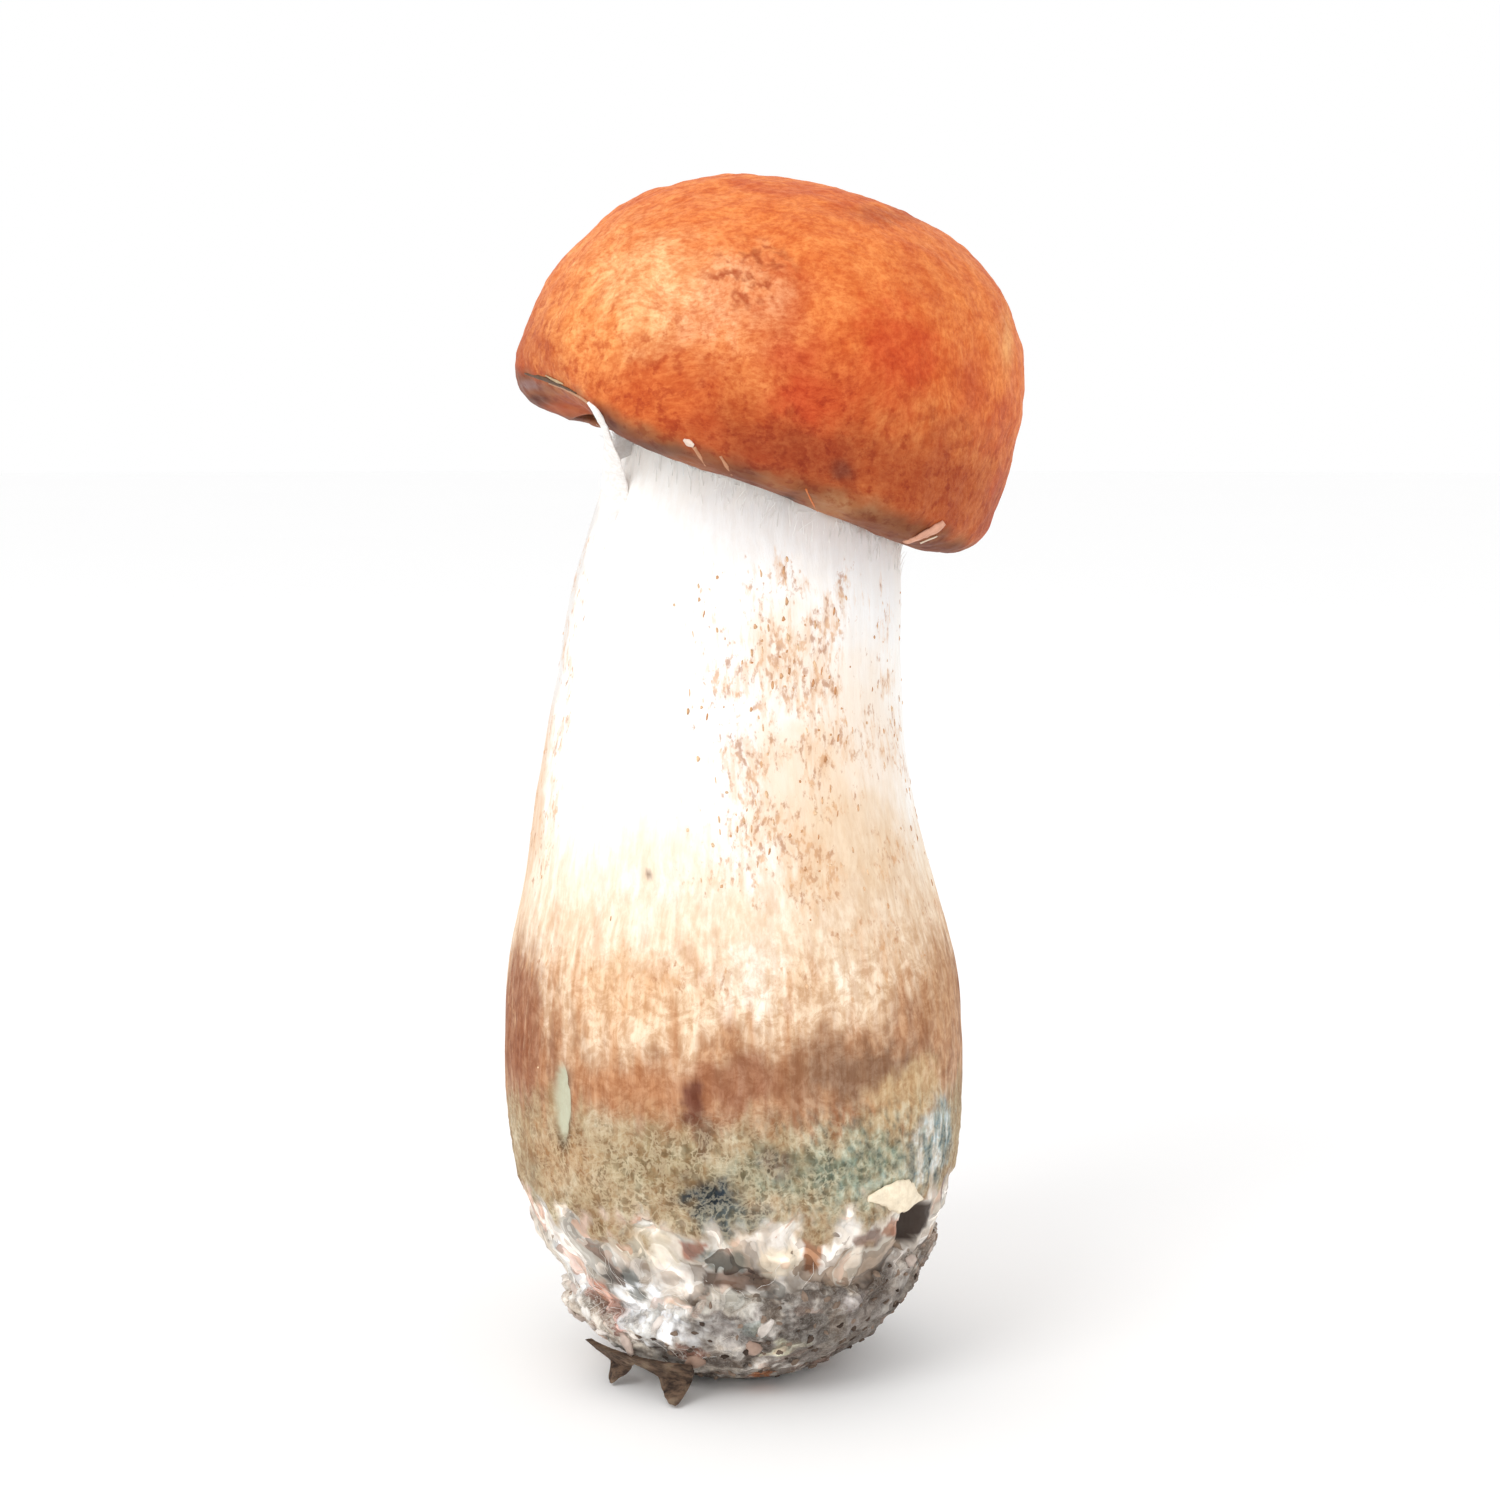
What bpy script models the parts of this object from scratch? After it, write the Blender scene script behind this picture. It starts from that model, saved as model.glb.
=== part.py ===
"""A picked young orange-capped bolete, standing on its own broad base.

Metres, +Z up. The origin is the middle of the flat spot that the soil on the base rests on.
The cap leans towards +X, and the side that the picture shows faces -Y.
"""

import math
import random

import bmesh
import bpy
from mathutils import Matrix, Vector, noise

MM = 0.001

# Whole object
SEED = 7
CLEARANCE = 0.3 * MM

# Stem: it swells to a bulge low down, and its foot is a squarish round.
STEM_FOOT = 2.6 * MM
STEM_TOP = 108.0 * MM
BULGE_HEIGHT = 35.4 * MM
BULGE_RADIUS = 24.9 * MM
FOOT_SQUARENESS = 2.6
STEM_CROWN = 3.5 * MM
CROWN_REACH = 0.98
STEM_RADII = [
    (BULGE_HEIGHT, BULGE_RADIUS),
    (44.5 * MM, 24.2 * MM),
    (57.0 * MM, 21.4 * MM),
    (70.0 * MM, 19.1 * MM),
    (85.0 * MM, 17.4 * MM),
    (93.0 * MM, 16.2 * MM),
    (100.0 * MM, 15.8 * MM),
    (STEM_TOP, 15.4 * MM),
]
STEM_LEAN = [
    (0.0, 0.0),
    (35.0 * MM, 0.2 * MM),
    (60.0 * MM, -0.75 * MM),
    (74.0 * MM, -0.4 * MM),
    (86.0 * MM, 0.9 * MM),
    (98.5 * MM, 3.0 * MM),
    (STEM_TOP, 6.0 * MM),
]
STEM_STEPS = 44
STEM_ROWS = 30
STEM_END_CROWDING = 0.75
STEM_LOBES = ((2, 0.012, 0.6), (3, 0.010, 2.1), (5, 0.006, 4.0))
LUMP_SIZE = 5.5 * MM
LUMP_HEIGHT = 0.9 * MM
LUMPS_END = 21.0 * MM

# Scabers: the rough little tufts in lengthwise rows on the stem, larger than life
SCABER_LENGTH = 3.2 * MM
SCABER_WIDTH = 1.2 * MM
SCABER_HEIGHT = 0.45 * MM
SCABER_ROOT = 0.5 * MM
SCABER_SIZES = (0.7, 1.25)
SCABER_ROWS = 18
SCABERS_A_ROW = 17
SCABERS_FROM = 24.0 * MM
SCABERS_TO = 91.0 * MM

# Slug bites: a hollow low on the right and a long graze on the left, as (angle, height, radii)
BITES = (
    (math.radians(-37), 19.0 * MM, (2.8 * MM, 2.6 * MM, 3.0 * MM)),
    (math.radians(-137), 33.0 * MM, (0.8 * MM, 1.3 * MM, 4.4 * MM)),
)

# Tongue of flesh left standing over the hollow
TONGUE_ANGLE = math.radians(-45)
TONGUE_HEIGHT = 22.8 * MM
TONGUE_RADII = (1.5 * MM, 3.0 * MM, 1.9 * MM)

# Veil shreds: thin webs of white tissue from the stem to the cap's margin
SHRED_ANGLES = (-24, -146, 62, 128)
SHRED_THICKNESS = 0.8 * MM
SHRED_STEM_END = (14.2 * MM, -0.6 * MM)
SHRED_CAP_END = (17.7 * MM, -1.2 * MM)
SHRED_DROP = 8.0 * MM
SHRED_TIP = 0.9 * MM

# Cap, in its own frame: its middle is the centre of the margin's plane, and the dome leans
# back a little from its axis
CAP_MIDDLE = Vector((1.4 * MM, 0.0, 98.6 * MM))
CAP_TILT = math.radians(19)
CAP_RADIUS = 27.1 * MM
CAP_WIDEST = 4.6 * MM
CAP_TOP = 30.5 * MM
DOME_SQUARENESS = 2.4
DOME_LEAN_BACK = 0.075
MARGIN_SQUARENESS = 2.9
LIP_RADIUS = 19.8 * MM
LIP_DROP = 2.3 * MM
LIP_ROUNDING = 0.7 * MM
RECESS_RADIUS = 22.9 * MM
RECESS_TOP = 9.6 * MM
RECESS_ROUNDING = 3.0 * MM
RECESS_OVERLAP = 2.0 * MM
LIP_SLOPE = 1.0 * MM
CAP_STEPS = 46
DOME_ROWS = 14
MARGIN_ROWS = 8

# Shape of the margin: broad waves, a notch where it is pushed up, and a front tucked to the stem
WAVE_HEIGHT = 0.45 * MM
WAVES = 3
NOTCH_ANGLE = math.radians(-148)
NOTCH_SPREAD = math.radians(20)
NOTCH_LIFT = 2.9 * MM
WARP_FROM = 15.5 * MM
WARP_TO = 21.5 * MM
WARP_FADE = 15.0 * MM
TUCK_ANGLE = math.radians(-80)
TUCK_SPREAD = math.radians(60)
TUCK = 2.0 * MM

# Dents in the dome: (across, behind, radius, depth)
DENTS = (
    (4.5 * MM, 7.0 * MM, 6.5 * MM, 1.6 * MM),
    (-6.0 * MM, -17.0 * MM, 8.0 * MM, 0.5 * MM),
)

# Tube layer: the spongy ring under the cap, its open pores facing down
TUBES_OUTER = 22.4 * MM
TUBES_INNER = 14.0 * MM
PORE_FACE = 2.4 * MM
PORE_FACE_RISE = 2.2 * MM
PORE_DEPTH = 0.45 * MM
PORES_ROUND = 34
FACE_RIM = 0.4 * MM
PORE_ROWS = 3

# Soil caked on the foot, cut flat where it stands
SOIL_BOTTOM = -0.8 * MM
SOIL_SQUARENESS = 2.65
SOIL_TOP = 17.5 * MM
SOIL_MEAN_EDGE = 11.0 * MM
SOIL_EDGE_SLOPE = 3.5 * MM
SOIL_ROUGHNESS = 0.9 * MM
SOIL_GRAIN = 3.4 * MM
SOIL_EDGE_RAGGED = 2.5 * MM
SOIL_THINS_BELOW = 0.6 * MM
SOIL_BURIED_ABOVE = 2.0 * MM
SOIL_BURIED = 2.56 * MM
SOIL_STEPS = 44
SOIL_ROWS = 13
SOIL_LOWEST_ROW = 0.6 * SOIL_BOTTOM
CLODS = 24
CLOD_RADII = (1.0 * MM, 2.0 * MM)

# Scrap of dead bark caught under the front of the foot
SCRAP_ANGLES = (math.radians(-150), math.radians(-104))
SCRAP_TOP = 4.6 * MM
SCRAP_LOWEST = 0.35 * MM
SCRAP_THICKNESS = 0.8 * MM
SCRAP_GAP = 0.5 * MM
SCRAP_FLARE = 2.6 * MM
SCRAP_FLARE_START = 0.6
SCRAP_UPRIGHT_BELOW = 2.76 * MM
SCRAP_COLUMNS = 12
SCRAP_ROWS = 4
SCRAP_OUTLINE = ((0.0, 0.45), (0.2, 1.0), (0.45, 0.35), (0.62, 0.5), (0.9, 1.0), (1.0, 0.3))


def curve_through(stations):
    """A smooth function through (place, value) stations, straight beyond both ends."""
    places = [place for place, _ in stations]
    values = [value for _, value in stations]
    last = len(stations) - 1
    slopes = []
    for i in range(last + 1):
        before, after = max(i - 1, 0), min(i + 1, last)
        slopes.append((values[after] - values[before]) / (places[after] - places[before]))

    def value_at(place):
        if place <= places[0]:
            return values[0] + slopes[0] * (place - places[0])
        if place >= places[last]:
            return values[last] + slopes[last] * (place - places[last])
        i = max(k for k in range(last) if places[k] <= place)
        width = places[i + 1] - places[i]
        t = (place - places[i]) / width
        return (
            values[i] * (1 + 2 * t) * (1 - t) ** 2
            + slopes[i] * width * t * (1 - t) ** 2
            + values[i + 1] * t * t * (3 - 2 * t)
            + slopes[i + 1] * width * t * t * (t - 1)
        )

    return value_at


def smooth_step(start, end, x):
    """0 before start, 1 after end, and a smooth rise between them."""
    t = min(1.0, max(0.0, (x - start) / (end - start)))
    return t * t * (3 - 2 * t)


def squarish(t, power):
    """The width of a squarish round, as a share, at height t from its widest place."""
    return max(0.0, 1 - min(1.0, t) ** power) ** (1 / power)


def angle_between(a, b):
    """The turn from b to a, from -pi to pi."""
    return (a - b + math.pi) % (2 * math.pi) - math.pi


radius_above_bulge = curve_through(STEM_RADII)
lean_at = curve_through(STEM_LEAN)


def foot_radius(height, bottom, squareness):
    """The radius below the bulge of a foot that ends at bottom."""
    return BULGE_RADIUS * squarish((BULGE_HEIGHT - height) / (BULGE_HEIGHT - bottom), squareness)


def crust_radius(height):
    return foot_radius(height, SOIL_BOTTOM, SOIL_SQUARENESS)


def stem_radius(height):
    if height <= BULGE_HEIGHT:
        return foot_radius(height, STEM_FOOT, FOOT_SQUARENESS)
    crown = max(0.0, (height - STEM_TOP + STEM_CROWN) / STEM_CROWN)
    return radius_above_bulge(height) * squarish(crown * CROWN_REACH, 2)


def lobed(angle):
    """How far the stem's outline is from round, as a factor."""
    return 1 + sum(size * math.cos(count * angle + turn) for count, size, turn in STEM_LOBES)


def bent(point):
    """A point of the straight stem, moved to where the leaning stem has it."""
    step = 0.5 * MM
    slope = (lean_at(point.z + step) - lean_at(point.z - step)) / (2 * step)
    turn = Matrix.Rotation(math.atan(slope), 3, "Y")
    return Vector((lean_at(point.z), 0, point.z)) + turn @ Vector((point.x, point.y, 0))


def foot_lumps(point):
    """The height of the lumps on the stem's foot, fading out upwards."""
    fade = 1 - smooth_step(0.4 * LUMPS_END, LUMPS_END, point.z)
    return LUMP_HEIGHT * fade * noise.noise(point / LUMP_SIZE)


def stem_surface(angle, height, proud=0.0):
    """A point of the stem's skin, proud of it by the given distance."""
    across = Vector((math.cos(angle), math.sin(angle), 0))
    radius = stem_radius(height) * lobed(angle)
    straight = across * radius + Vector((0, 0, height))
    return bent(straight + across * (proud + foot_lumps(straight)))


def cap_frame():
    """The matrix that carries the cap's own frame to the world."""
    return Matrix.Translation(CAP_MIDDLE) @ Matrix.Rotation(CAP_TILT, 4, "Y")


def margin_lift(angle):
    notch = math.exp(-((angle_between(angle, NOTCH_ANGLE) / NOTCH_SPREAD) ** 2))
    return NOTCH_LIFT * notch + WAVE_HEIGHT * math.sin(WAVES * angle)


def warped(point):
    """A point in the cap's own frame, moved by the margin's waves and the dome's dents."""
    radius = math.hypot(point.x, point.y)
    angle = math.atan2(point.y, point.x)
    near_margin = smooth_step(WARP_FROM, WARP_TO, radius) * (1 - smooth_step(0, WARP_FADE, point.z))
    moved = point + Vector((0, 0, margin_lift(angle) * near_margin))
    at_lip = (1 - smooth_step(LIP_RADIUS, CAP_RADIUS, radius)) * (1 - smooth_step(0, PORE_FACE, point.z))
    if radius > WARP_FROM:
        front = math.exp(-((angle_between(angle, TUCK_ANGLE) / TUCK_SPREAD) ** 2))
        moved *= 1 - TUCK * front * at_lip / radius
    on_dome = smooth_step(CAP_WIDEST, CAP_TOP * 0.6, point.z)
    moved.z += DOME_LEAN_BACK * point.x * on_dome
    for across, behind, size, depth in DENTS:
        away = math.hypot(point.x - across, point.y - behind) / size
        moved.z -= depth * on_dome * math.exp(-away * away)
    return moved


def new_collection(name, shown):
    collection = bpy.data.collections.new(name)
    collection.hide_render = not shown
    bpy.context.scene.collection.children.link(collection)
    return collection


def material(name, colour, roughness):
    made = bpy.data.materials.new(name)
    made.use_nodes = True
    made.diffuse_color = (*colour, 1)
    shader = made.node_tree.nodes["Principled BSDF"]
    shader.inputs["Base Color"].default_value = (*colour, 1)
    shader.inputs["Roughness"].default_value = roughness
    shader.inputs["Metallic"].default_value = 0
    return made


def add_object(name, mesh, collection):
    made = bpy.data.objects.new(name, mesh)
    collection.objects.link(made)
    return made


def applied(obj):
    """obj with its modifiers made part of its mesh."""
    bpy.context.view_layer.update()
    graph = bpy.context.evaluated_depsgraph_get()
    mesh = bpy.data.meshes.new_from_object(obj.evaluated_get(graph))
    obj.modifiers.clear()
    obj.data = mesh
    return obj


def turned(name, profile, steps, collection, closed=False):
    """The solid that a profile of (radius, height) makes, turned round Z."""
    mesh = bpy.data.meshes.new(name)
    count = len(profile)
    edges = [(i, (i + 1) % count) for i in range(count if closed else count - 1)]
    mesh.from_pydata([(radius, 0, height) for radius, height in profile], edges, [])
    obj = add_object(name, mesh, collection)
    screw = obj.modifiers.new("turn", "SCREW")
    screw.steps = screw.render_steps = steps
    screw.use_merge_vertices = True
    screw.merge_threshold = 0.00001
    return applied(obj)


def reshape(obj, move):
    """Moves every point of obj's mesh to where move puts it."""
    for vertex in obj.data.vertices:
        vertex.co = move(vertex.co.copy())
    obj.data.update()
    return obj


def boolean(obj, operation, other=None, collection=None):
    """Cuts obj by other, or joins it with all of a collection, as part of its mesh."""
    modifier = obj.modifiers.new(operation.lower(), "BOOLEAN")
    modifier.operation = operation
    if collection:
        modifier.operand_type = "COLLECTION"
        modifier.collection = collection
    else:
        modifier.object = other
    return applied(obj)


def clear(collection):
    for obj in list(collection.objects):
        bpy.data.objects.remove(obj)


def keep_largest(obj):
    """Drops loose scraps that a cut left, and keeps the largest body."""
    made = bmesh.new()
    made.from_mesh(obj.data)
    bodies, seen = [], set()
    for start in made.verts:
        if start in seen:
            continue
        body, todo = [], [start]
        seen.add(start)
        while todo:
            vertex = todo.pop()
            body.append(vertex)
            for edge in vertex.link_edges:
                other = edge.other_vert(vertex)
                if other not in seen:
                    seen.add(other)
                    todo.append(other)
        bodies.append(body)
    bodies.sort(key=len)
    for body in bodies[:-1]:
        bmesh.ops.delete(made, geom=body, context="VERTS")
    made.to_mesh(obj.data)
    made.free()
    return obj


def finish(obj, finish_material):
    """Gives a finished solid its material and smooth shading."""
    obj.data.materials.clear()
    obj.data.materials.append(finish_material)
    obj.data.shade_smooth()
    obj.data.set_sharp_from_angle(angle=math.radians(40))
    return obj


def stem_profile(grow=0.0):
    """(radius, height) down the stem's side, from the middle of its top to that of its foot."""
    rows = []
    for i in range(STEM_ROWS + 1):
        t = i / STEM_ROWS
        eased = t - math.sin(2 * math.pi * t) / (2 * math.pi) * STEM_END_CROWDING
        height = STEM_TOP + (STEM_FOOT - STEM_TOP) * eased
        rows.append((stem_radius(height) + grow, height))
    top = (0, STEM_TOP + grow)
    foot = (0, STEM_FOOT - grow)
    return [top, *rows[:-1], foot]


def shape_stem(point):
    """A point of the turned stem, made lobed, lumpy and leaning."""
    angle = math.atan2(point.y, point.x)
    round_part = Vector((point.x, point.y, 0)) * lobed(angle)
    straight = round_part + Vector((0, 0, point.z))
    outward = round_part.normalized() if round_part.length > 1e-9 else Vector((0, 0, -1))
    return bent(straight + outward * foot_lumps(straight))


def stem_body(name, collection, grow=0.0):
    body = turned(name, stem_profile(grow), STEM_STEPS, collection)
    return reshape(body, shape_stem)


def scaber_mesh():
    """A low four-sided tuft, long in Z, that stands out along X from a sunk root."""
    shape = bmesh.new()
    depth = SCABER_HEIGHT + SCABER_ROOT
    bmesh.ops.create_cone(shape, cap_ends=True, segments=4, radius1=0.5, radius2=0.12, depth=depth)
    bmesh.ops.translate(shape, verts=shape.verts, vec=(0, 0, depth / 2 - SCABER_ROOT))
    bmesh.ops.rotate(shape, verts=shape.verts, matrix=Matrix.Rotation(math.pi / 2, 3, "Y"))
    bmesh.ops.scale(shape, verts=shape.verts, vec=(1, SCABER_WIDTH, SCABER_LENGTH))
    mesh = bpy.data.meshes.new("scaber")
    shape.to_mesh(mesh)
    shape.free()
    return mesh


def skin_frame(angle, height):
    """A matrix on the stem's skin: X out of it, Z up along it."""
    here = stem_surface(angle, height)
    up = (stem_surface(angle, height + MM) - stem_surface(angle, height - MM)).normalized()
    side = stem_surface(angle + 0.05, height) - stem_surface(angle - 0.05, height)
    out = side.cross(up).normalized()
    across = up.cross(out)
    turn = Matrix((out, across, up)).transposed()
    return Matrix.Translation(here) @ turn.to_4x4()


def place_scabers(collection, draw):
    mesh = scaber_mesh()
    for row in range(SCABER_ROWS):
        for place in range(SCABERS_A_ROW):
            share = (row + 0.5 + draw.uniform(-0.32, 0.32)) / SCABER_ROWS
            height = SCABERS_FROM + (SCABERS_TO - SCABERS_FROM) * share
            turn = place + 0.5 * (row % 2) + draw.uniform(-0.24, 0.24)
            angle = 2 * math.pi * turn / SCABERS_A_ROW
            tuft = add_object(f"scaber_{row}_{place}", mesh, collection)
            roll = Matrix.Rotation(draw.uniform(-0.25, 0.25), 4, "X")
            size = draw.uniform(*SCABER_SIZES)
            tuft.matrix_world = skin_frame(angle, height) @ roll @ Matrix.Diagonal((1, size, size, 1))


def place_shreds(collection):
    """Thin webs between the upper stem and the inner edge of the cap's margin."""
    for degrees in SHRED_ANGLES:
        angle = math.radians(degrees)
        shape = bmesh.new()
        bmesh.ops.create_cube(shape, size=1)
        for vertex in shape.verts:
            at_stem, at_top = vertex.co.x < 0, vertex.co.z > 0
            radius, height = SHRED_STEM_END if at_stem else SHRED_CAP_END
            if at_stem:
                height -= 0 if at_top else SHRED_DROP
            else:
                height += margin_lift(angle) - (0 if at_top else SHRED_TIP)
            vertex.co = (radius, vertex.co.y * SHRED_THICKNESS, height)
        mesh = bpy.data.meshes.new("shred")
        shape.to_mesh(mesh)
        shape.free()
        shred = add_object(f"shred_{degrees}", mesh, collection)
        shred.matrix_world = cap_frame() @ Matrix.Rotation(angle, 4, "Z")


def rounded_lump(name, radii, collection, segments=12, rings=8):
    bpy.ops.mesh.primitive_uv_sphere_add(segments=segments, ring_count=rings, radius=1)
    lump = bpy.context.object
    lump.name = name
    for owner in list(lump.users_collection):
        owner.objects.unlink(lump)
    collection.objects.link(lump)
    lump.data.transform(Matrix.Diagonal((*radii, 1)))
    return lump


def make_stem(parts, cutters, repeats, draw):
    stem = stem_body("stem", parts)
    tongue = rounded_lump("tongue", TONGUE_RADII, repeats)
    tongue.matrix_world = skin_frame(TONGUE_ANGLE, TONGUE_HEIGHT)
    place_scabers(repeats, draw)
    place_shreds(repeats)
    boolean(stem, "UNION", collection=repeats)
    clear(repeats)
    for angle, height, radii in BITES:
        bite = rounded_lump("bite", radii, cutters)
        bite.matrix_world = skin_frame(angle, height)
        boolean(stem, "DIFFERENCE", bite)
    return finish(stem, material("stem_flesh", (0.86, 0.78, 0.68), 0.75))


def cap_profile():
    """(radius, height) from the dome's top, round the rolled-in margin, to the recess's middle."""
    dome = []
    for i in range(1, DOME_ROWS + 1):
        turn = math.pi / 2 * i / DOME_ROWS
        power = 2 / DOME_SQUARENESS
        radius = CAP_RADIUS * math.sin(turn) ** power
        height = CAP_WIDEST + (CAP_TOP - CAP_WIDEST) * max(0.0, math.cos(turn)) ** power
        dome.append((radius, height))
    margin = []
    for i in range(1, MARGIN_ROWS + 1):
        turn = math.pi / 2 * i / MARGIN_ROWS
        power = 2 / MARGIN_SQUARENESS
        radius = LIP_RADIUS + (CAP_RADIUS - LIP_RADIUS) * max(0.0, math.cos(turn)) ** power
        margin.append((radius, CAP_WIDEST - (CAP_WIDEST + LIP_DROP) * math.sin(turn) ** power))
    lip = (LIP_RADIUS - LIP_ROUNDING, LIP_ROUNDING - LIP_DROP)
    inside_lip = (LIP_RADIUS, 2 * LIP_ROUNDING - LIP_DROP)
    behind_lip = (RECESS_RADIUS - LIP_SLOPE, PORE_FACE - 1.6 * LIP_SLOPE)
    recess = [
        (RECESS_RADIUS, PORE_FACE),
        (RECESS_RADIUS, RECESS_TOP - RECESS_ROUNDING),
        (RECESS_RADIUS - RECESS_ROUNDING / 2, RECESS_TOP - RECESS_ROUNDING / 3),
        (RECESS_RADIUS - RECESS_ROUNDING * 4 / 3, RECESS_TOP),
        (TUBES_INNER - RECESS_OVERLAP, RECESS_TOP),
    ]
    return [(0, CAP_TOP), *dome, *margin, lip, inside_lip, behind_lip, *recess, (0, RECESS_TOP)]


def make_cap(parts, stem_cutter):
    cap = turned("cap", cap_profile(), CAP_STEPS, parts)
    reshape(cap, warped)
    cap.data.transform(cap_frame())
    boolean(cap, "DIFFERENCE", stem_cutter)
    return finish(cap, material("cap_skin", (0.62, 0.2, 0.055), 0.5))


def pore_face_height(radius):
    """The pore face hangs lowest midway, and rises to the stem and to the margin."""
    middle = (TUBES_INNER + TUBES_OUTER) / 2 + MM
    half = (TUBES_OUTER - TUBES_INNER) / 2
    return PORE_FACE + PORE_FACE_RISE * ((radius - middle) / half) ** 2


def tube_profile():
    """The ring's outline, round from its outer wall over its top and back along its pore face."""
    top = RECESS_TOP - CLEARANCE
    outline = [
        (TUBES_OUTER, PORE_FACE + PORE_FACE_RISE),
        (TUBES_OUTER - CLEARANCE, top - RECESS_ROUNDING),
        (TUBES_OUTER - RECESS_ROUNDING / 2 - CLEARANCE, top - RECESS_ROUNDING / 3),
        (TUBES_OUTER - RECESS_ROUNDING * 4 / 3, top),
        (TUBES_INNER, top),
    ]
    rows = 2 * PORE_ROWS + 2
    face = []
    for i in range(rows):
        radius = TUBES_INNER + (TUBES_OUTER - TUBES_INNER - FACE_RIM) * i / (rows - 1)
        face.append((radius, pore_face_height(radius)))
    return list(reversed(outline + face))


def shape_pores(point):
    """Presses a pore into every second place of the face, in staggered rows."""
    radius = math.hypot(point.x, point.y)
    on_face = abs(point.z - pore_face_height(radius)) < PORE_DEPTH / 10
    inside = TUBES_INNER < radius < TUBES_OUTER - 1.5 * FACE_RIM
    if on_face and inside:
        rows = 2 * PORE_ROWS + 1
        step = (TUBES_OUTER - TUBES_INNER - FACE_RIM) / rows
        row = round((radius - TUBES_INNER) / step)
        place = round(math.atan2(point.y, point.x) / math.pi * PORES_ROUND)
        in_pore = (row + place) % 2 == 0
        point.z += PORE_DEPTH if in_pore else -PORE_DEPTH / 2
    return warped(point)


def make_tube_layer(parts, stem_cutter):
    layer = turned("tube_layer", tube_profile(), 2 * PORES_ROUND, parts, closed=True)
    reshape(layer, shape_pores)
    layer.data.transform(cap_frame())
    boolean(layer, "DIFFERENCE", stem_cutter)
    return finish(layer, material("tubes", (0.66, 0.58, 0.42), 0.8))


def soil_edge(angle):
    """How high the soil reaches: highest on the right, ragged all round."""
    ragged = noise.noise(Vector((3 * math.cos(angle), 3 * math.sin(angle), 5)))
    return SOIL_MEAN_EDGE + SOIL_EDGE_SLOPE * math.cos(angle) + SOIL_EDGE_RAGGED * ragged


def shape_soil(point):
    """A point of the turned crust, roughened, and sunk into the stem above the soil's edge."""
    angle = math.atan2(point.y, point.x)
    round_part = Vector((point.x, point.y, 0))
    if round_part.length < 1e-9:
        return point
    rough = noise.noise(point / SOIL_GRAIN) * SOIL_ROUGHNESS
    edge = soil_edge(angle)
    sunk = smooth_step(edge - SOIL_THINS_BELOW, edge + SOIL_BURIED_ABOVE, point.z)
    shrink = rough * (1 - sunk) - SOIL_BURIED * sunk
    return point + round_part.normalized() * shrink


def soil_profile():
    rows = []
    for i in range(SOIL_ROWS + 1):
        height = SOIL_TOP + (SOIL_LOWEST_ROW - SOIL_TOP) * i / SOIL_ROWS
        rows.append((crust_radius(height), height))
    return [(0, SOIL_TOP), *rows, (0, SOIL_BOTTOM)]


def place_clods(collection, draw):
    """Crumbs and clods of earth, sunk into the crust."""
    for i in range(CLODS):
        angle = 2 * math.pi * (i + draw.uniform(-0.35, 0.35)) / CLODS
        height = draw.uniform(1.0 * MM, soil_edge(angle) - 0.5 * MM)
        size = draw.uniform(*CLOD_RADII)
        radius = crust_radius(height) - 0.3 * size
        shape = bmesh.new()
        bmesh.ops.create_icosphere(shape, subdivisions=1, radius=size)
        for vertex in shape.verts:
            vertex.co *= 1 + 0.32 * noise.noise(vertex.co / size + Vector((i, 0, 0)))
        mesh = bpy.data.meshes.new("clod")
        shape.to_mesh(mesh)
        shape.free()
        clod = add_object(f"clod_{i}", mesh, collection)
        clod.location = (radius * math.cos(angle), radius * math.sin(angle), height)
        clod.rotation_euler = (draw.uniform(0, 3), draw.uniform(0, 3), 0)


def floor_cutter(cutters):
    """A block that takes away all that lies below the ground."""
    bpy.ops.mesh.primitive_cube_add(size=1)
    block = bpy.context.object
    block.name = "ground"
    for owner in list(block.users_collection):
        owner.objects.unlink(block)
    cutters.objects.link(block)
    block.data.transform(Matrix.Translation((0, 0, -10 * MM)) @ Matrix.Diagonal((0.2, 0.2, 0.02, 1)))
    return block


def make_soil(parts, cutters, repeats, stem_cutter, draw):
    soil = turned("soil", soil_profile(), SOIL_STEPS, parts)
    reshape(soil, shape_soil)
    place_clods(repeats, draw)
    boolean(soil, "UNION", collection=repeats)
    clear(repeats)
    scrap_cutter = scrap_body("scrap_clearance", cutters, grow=CLEARANCE)
    for cutter in (stem_cutter, floor_cutter(cutters), scrap_cutter):
        boolean(soil, "DIFFERENCE", cutter)
    keep_largest(soil)
    return finish(soil, material("earth", (0.09, 0.07, 0.055), 0.95))


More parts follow.
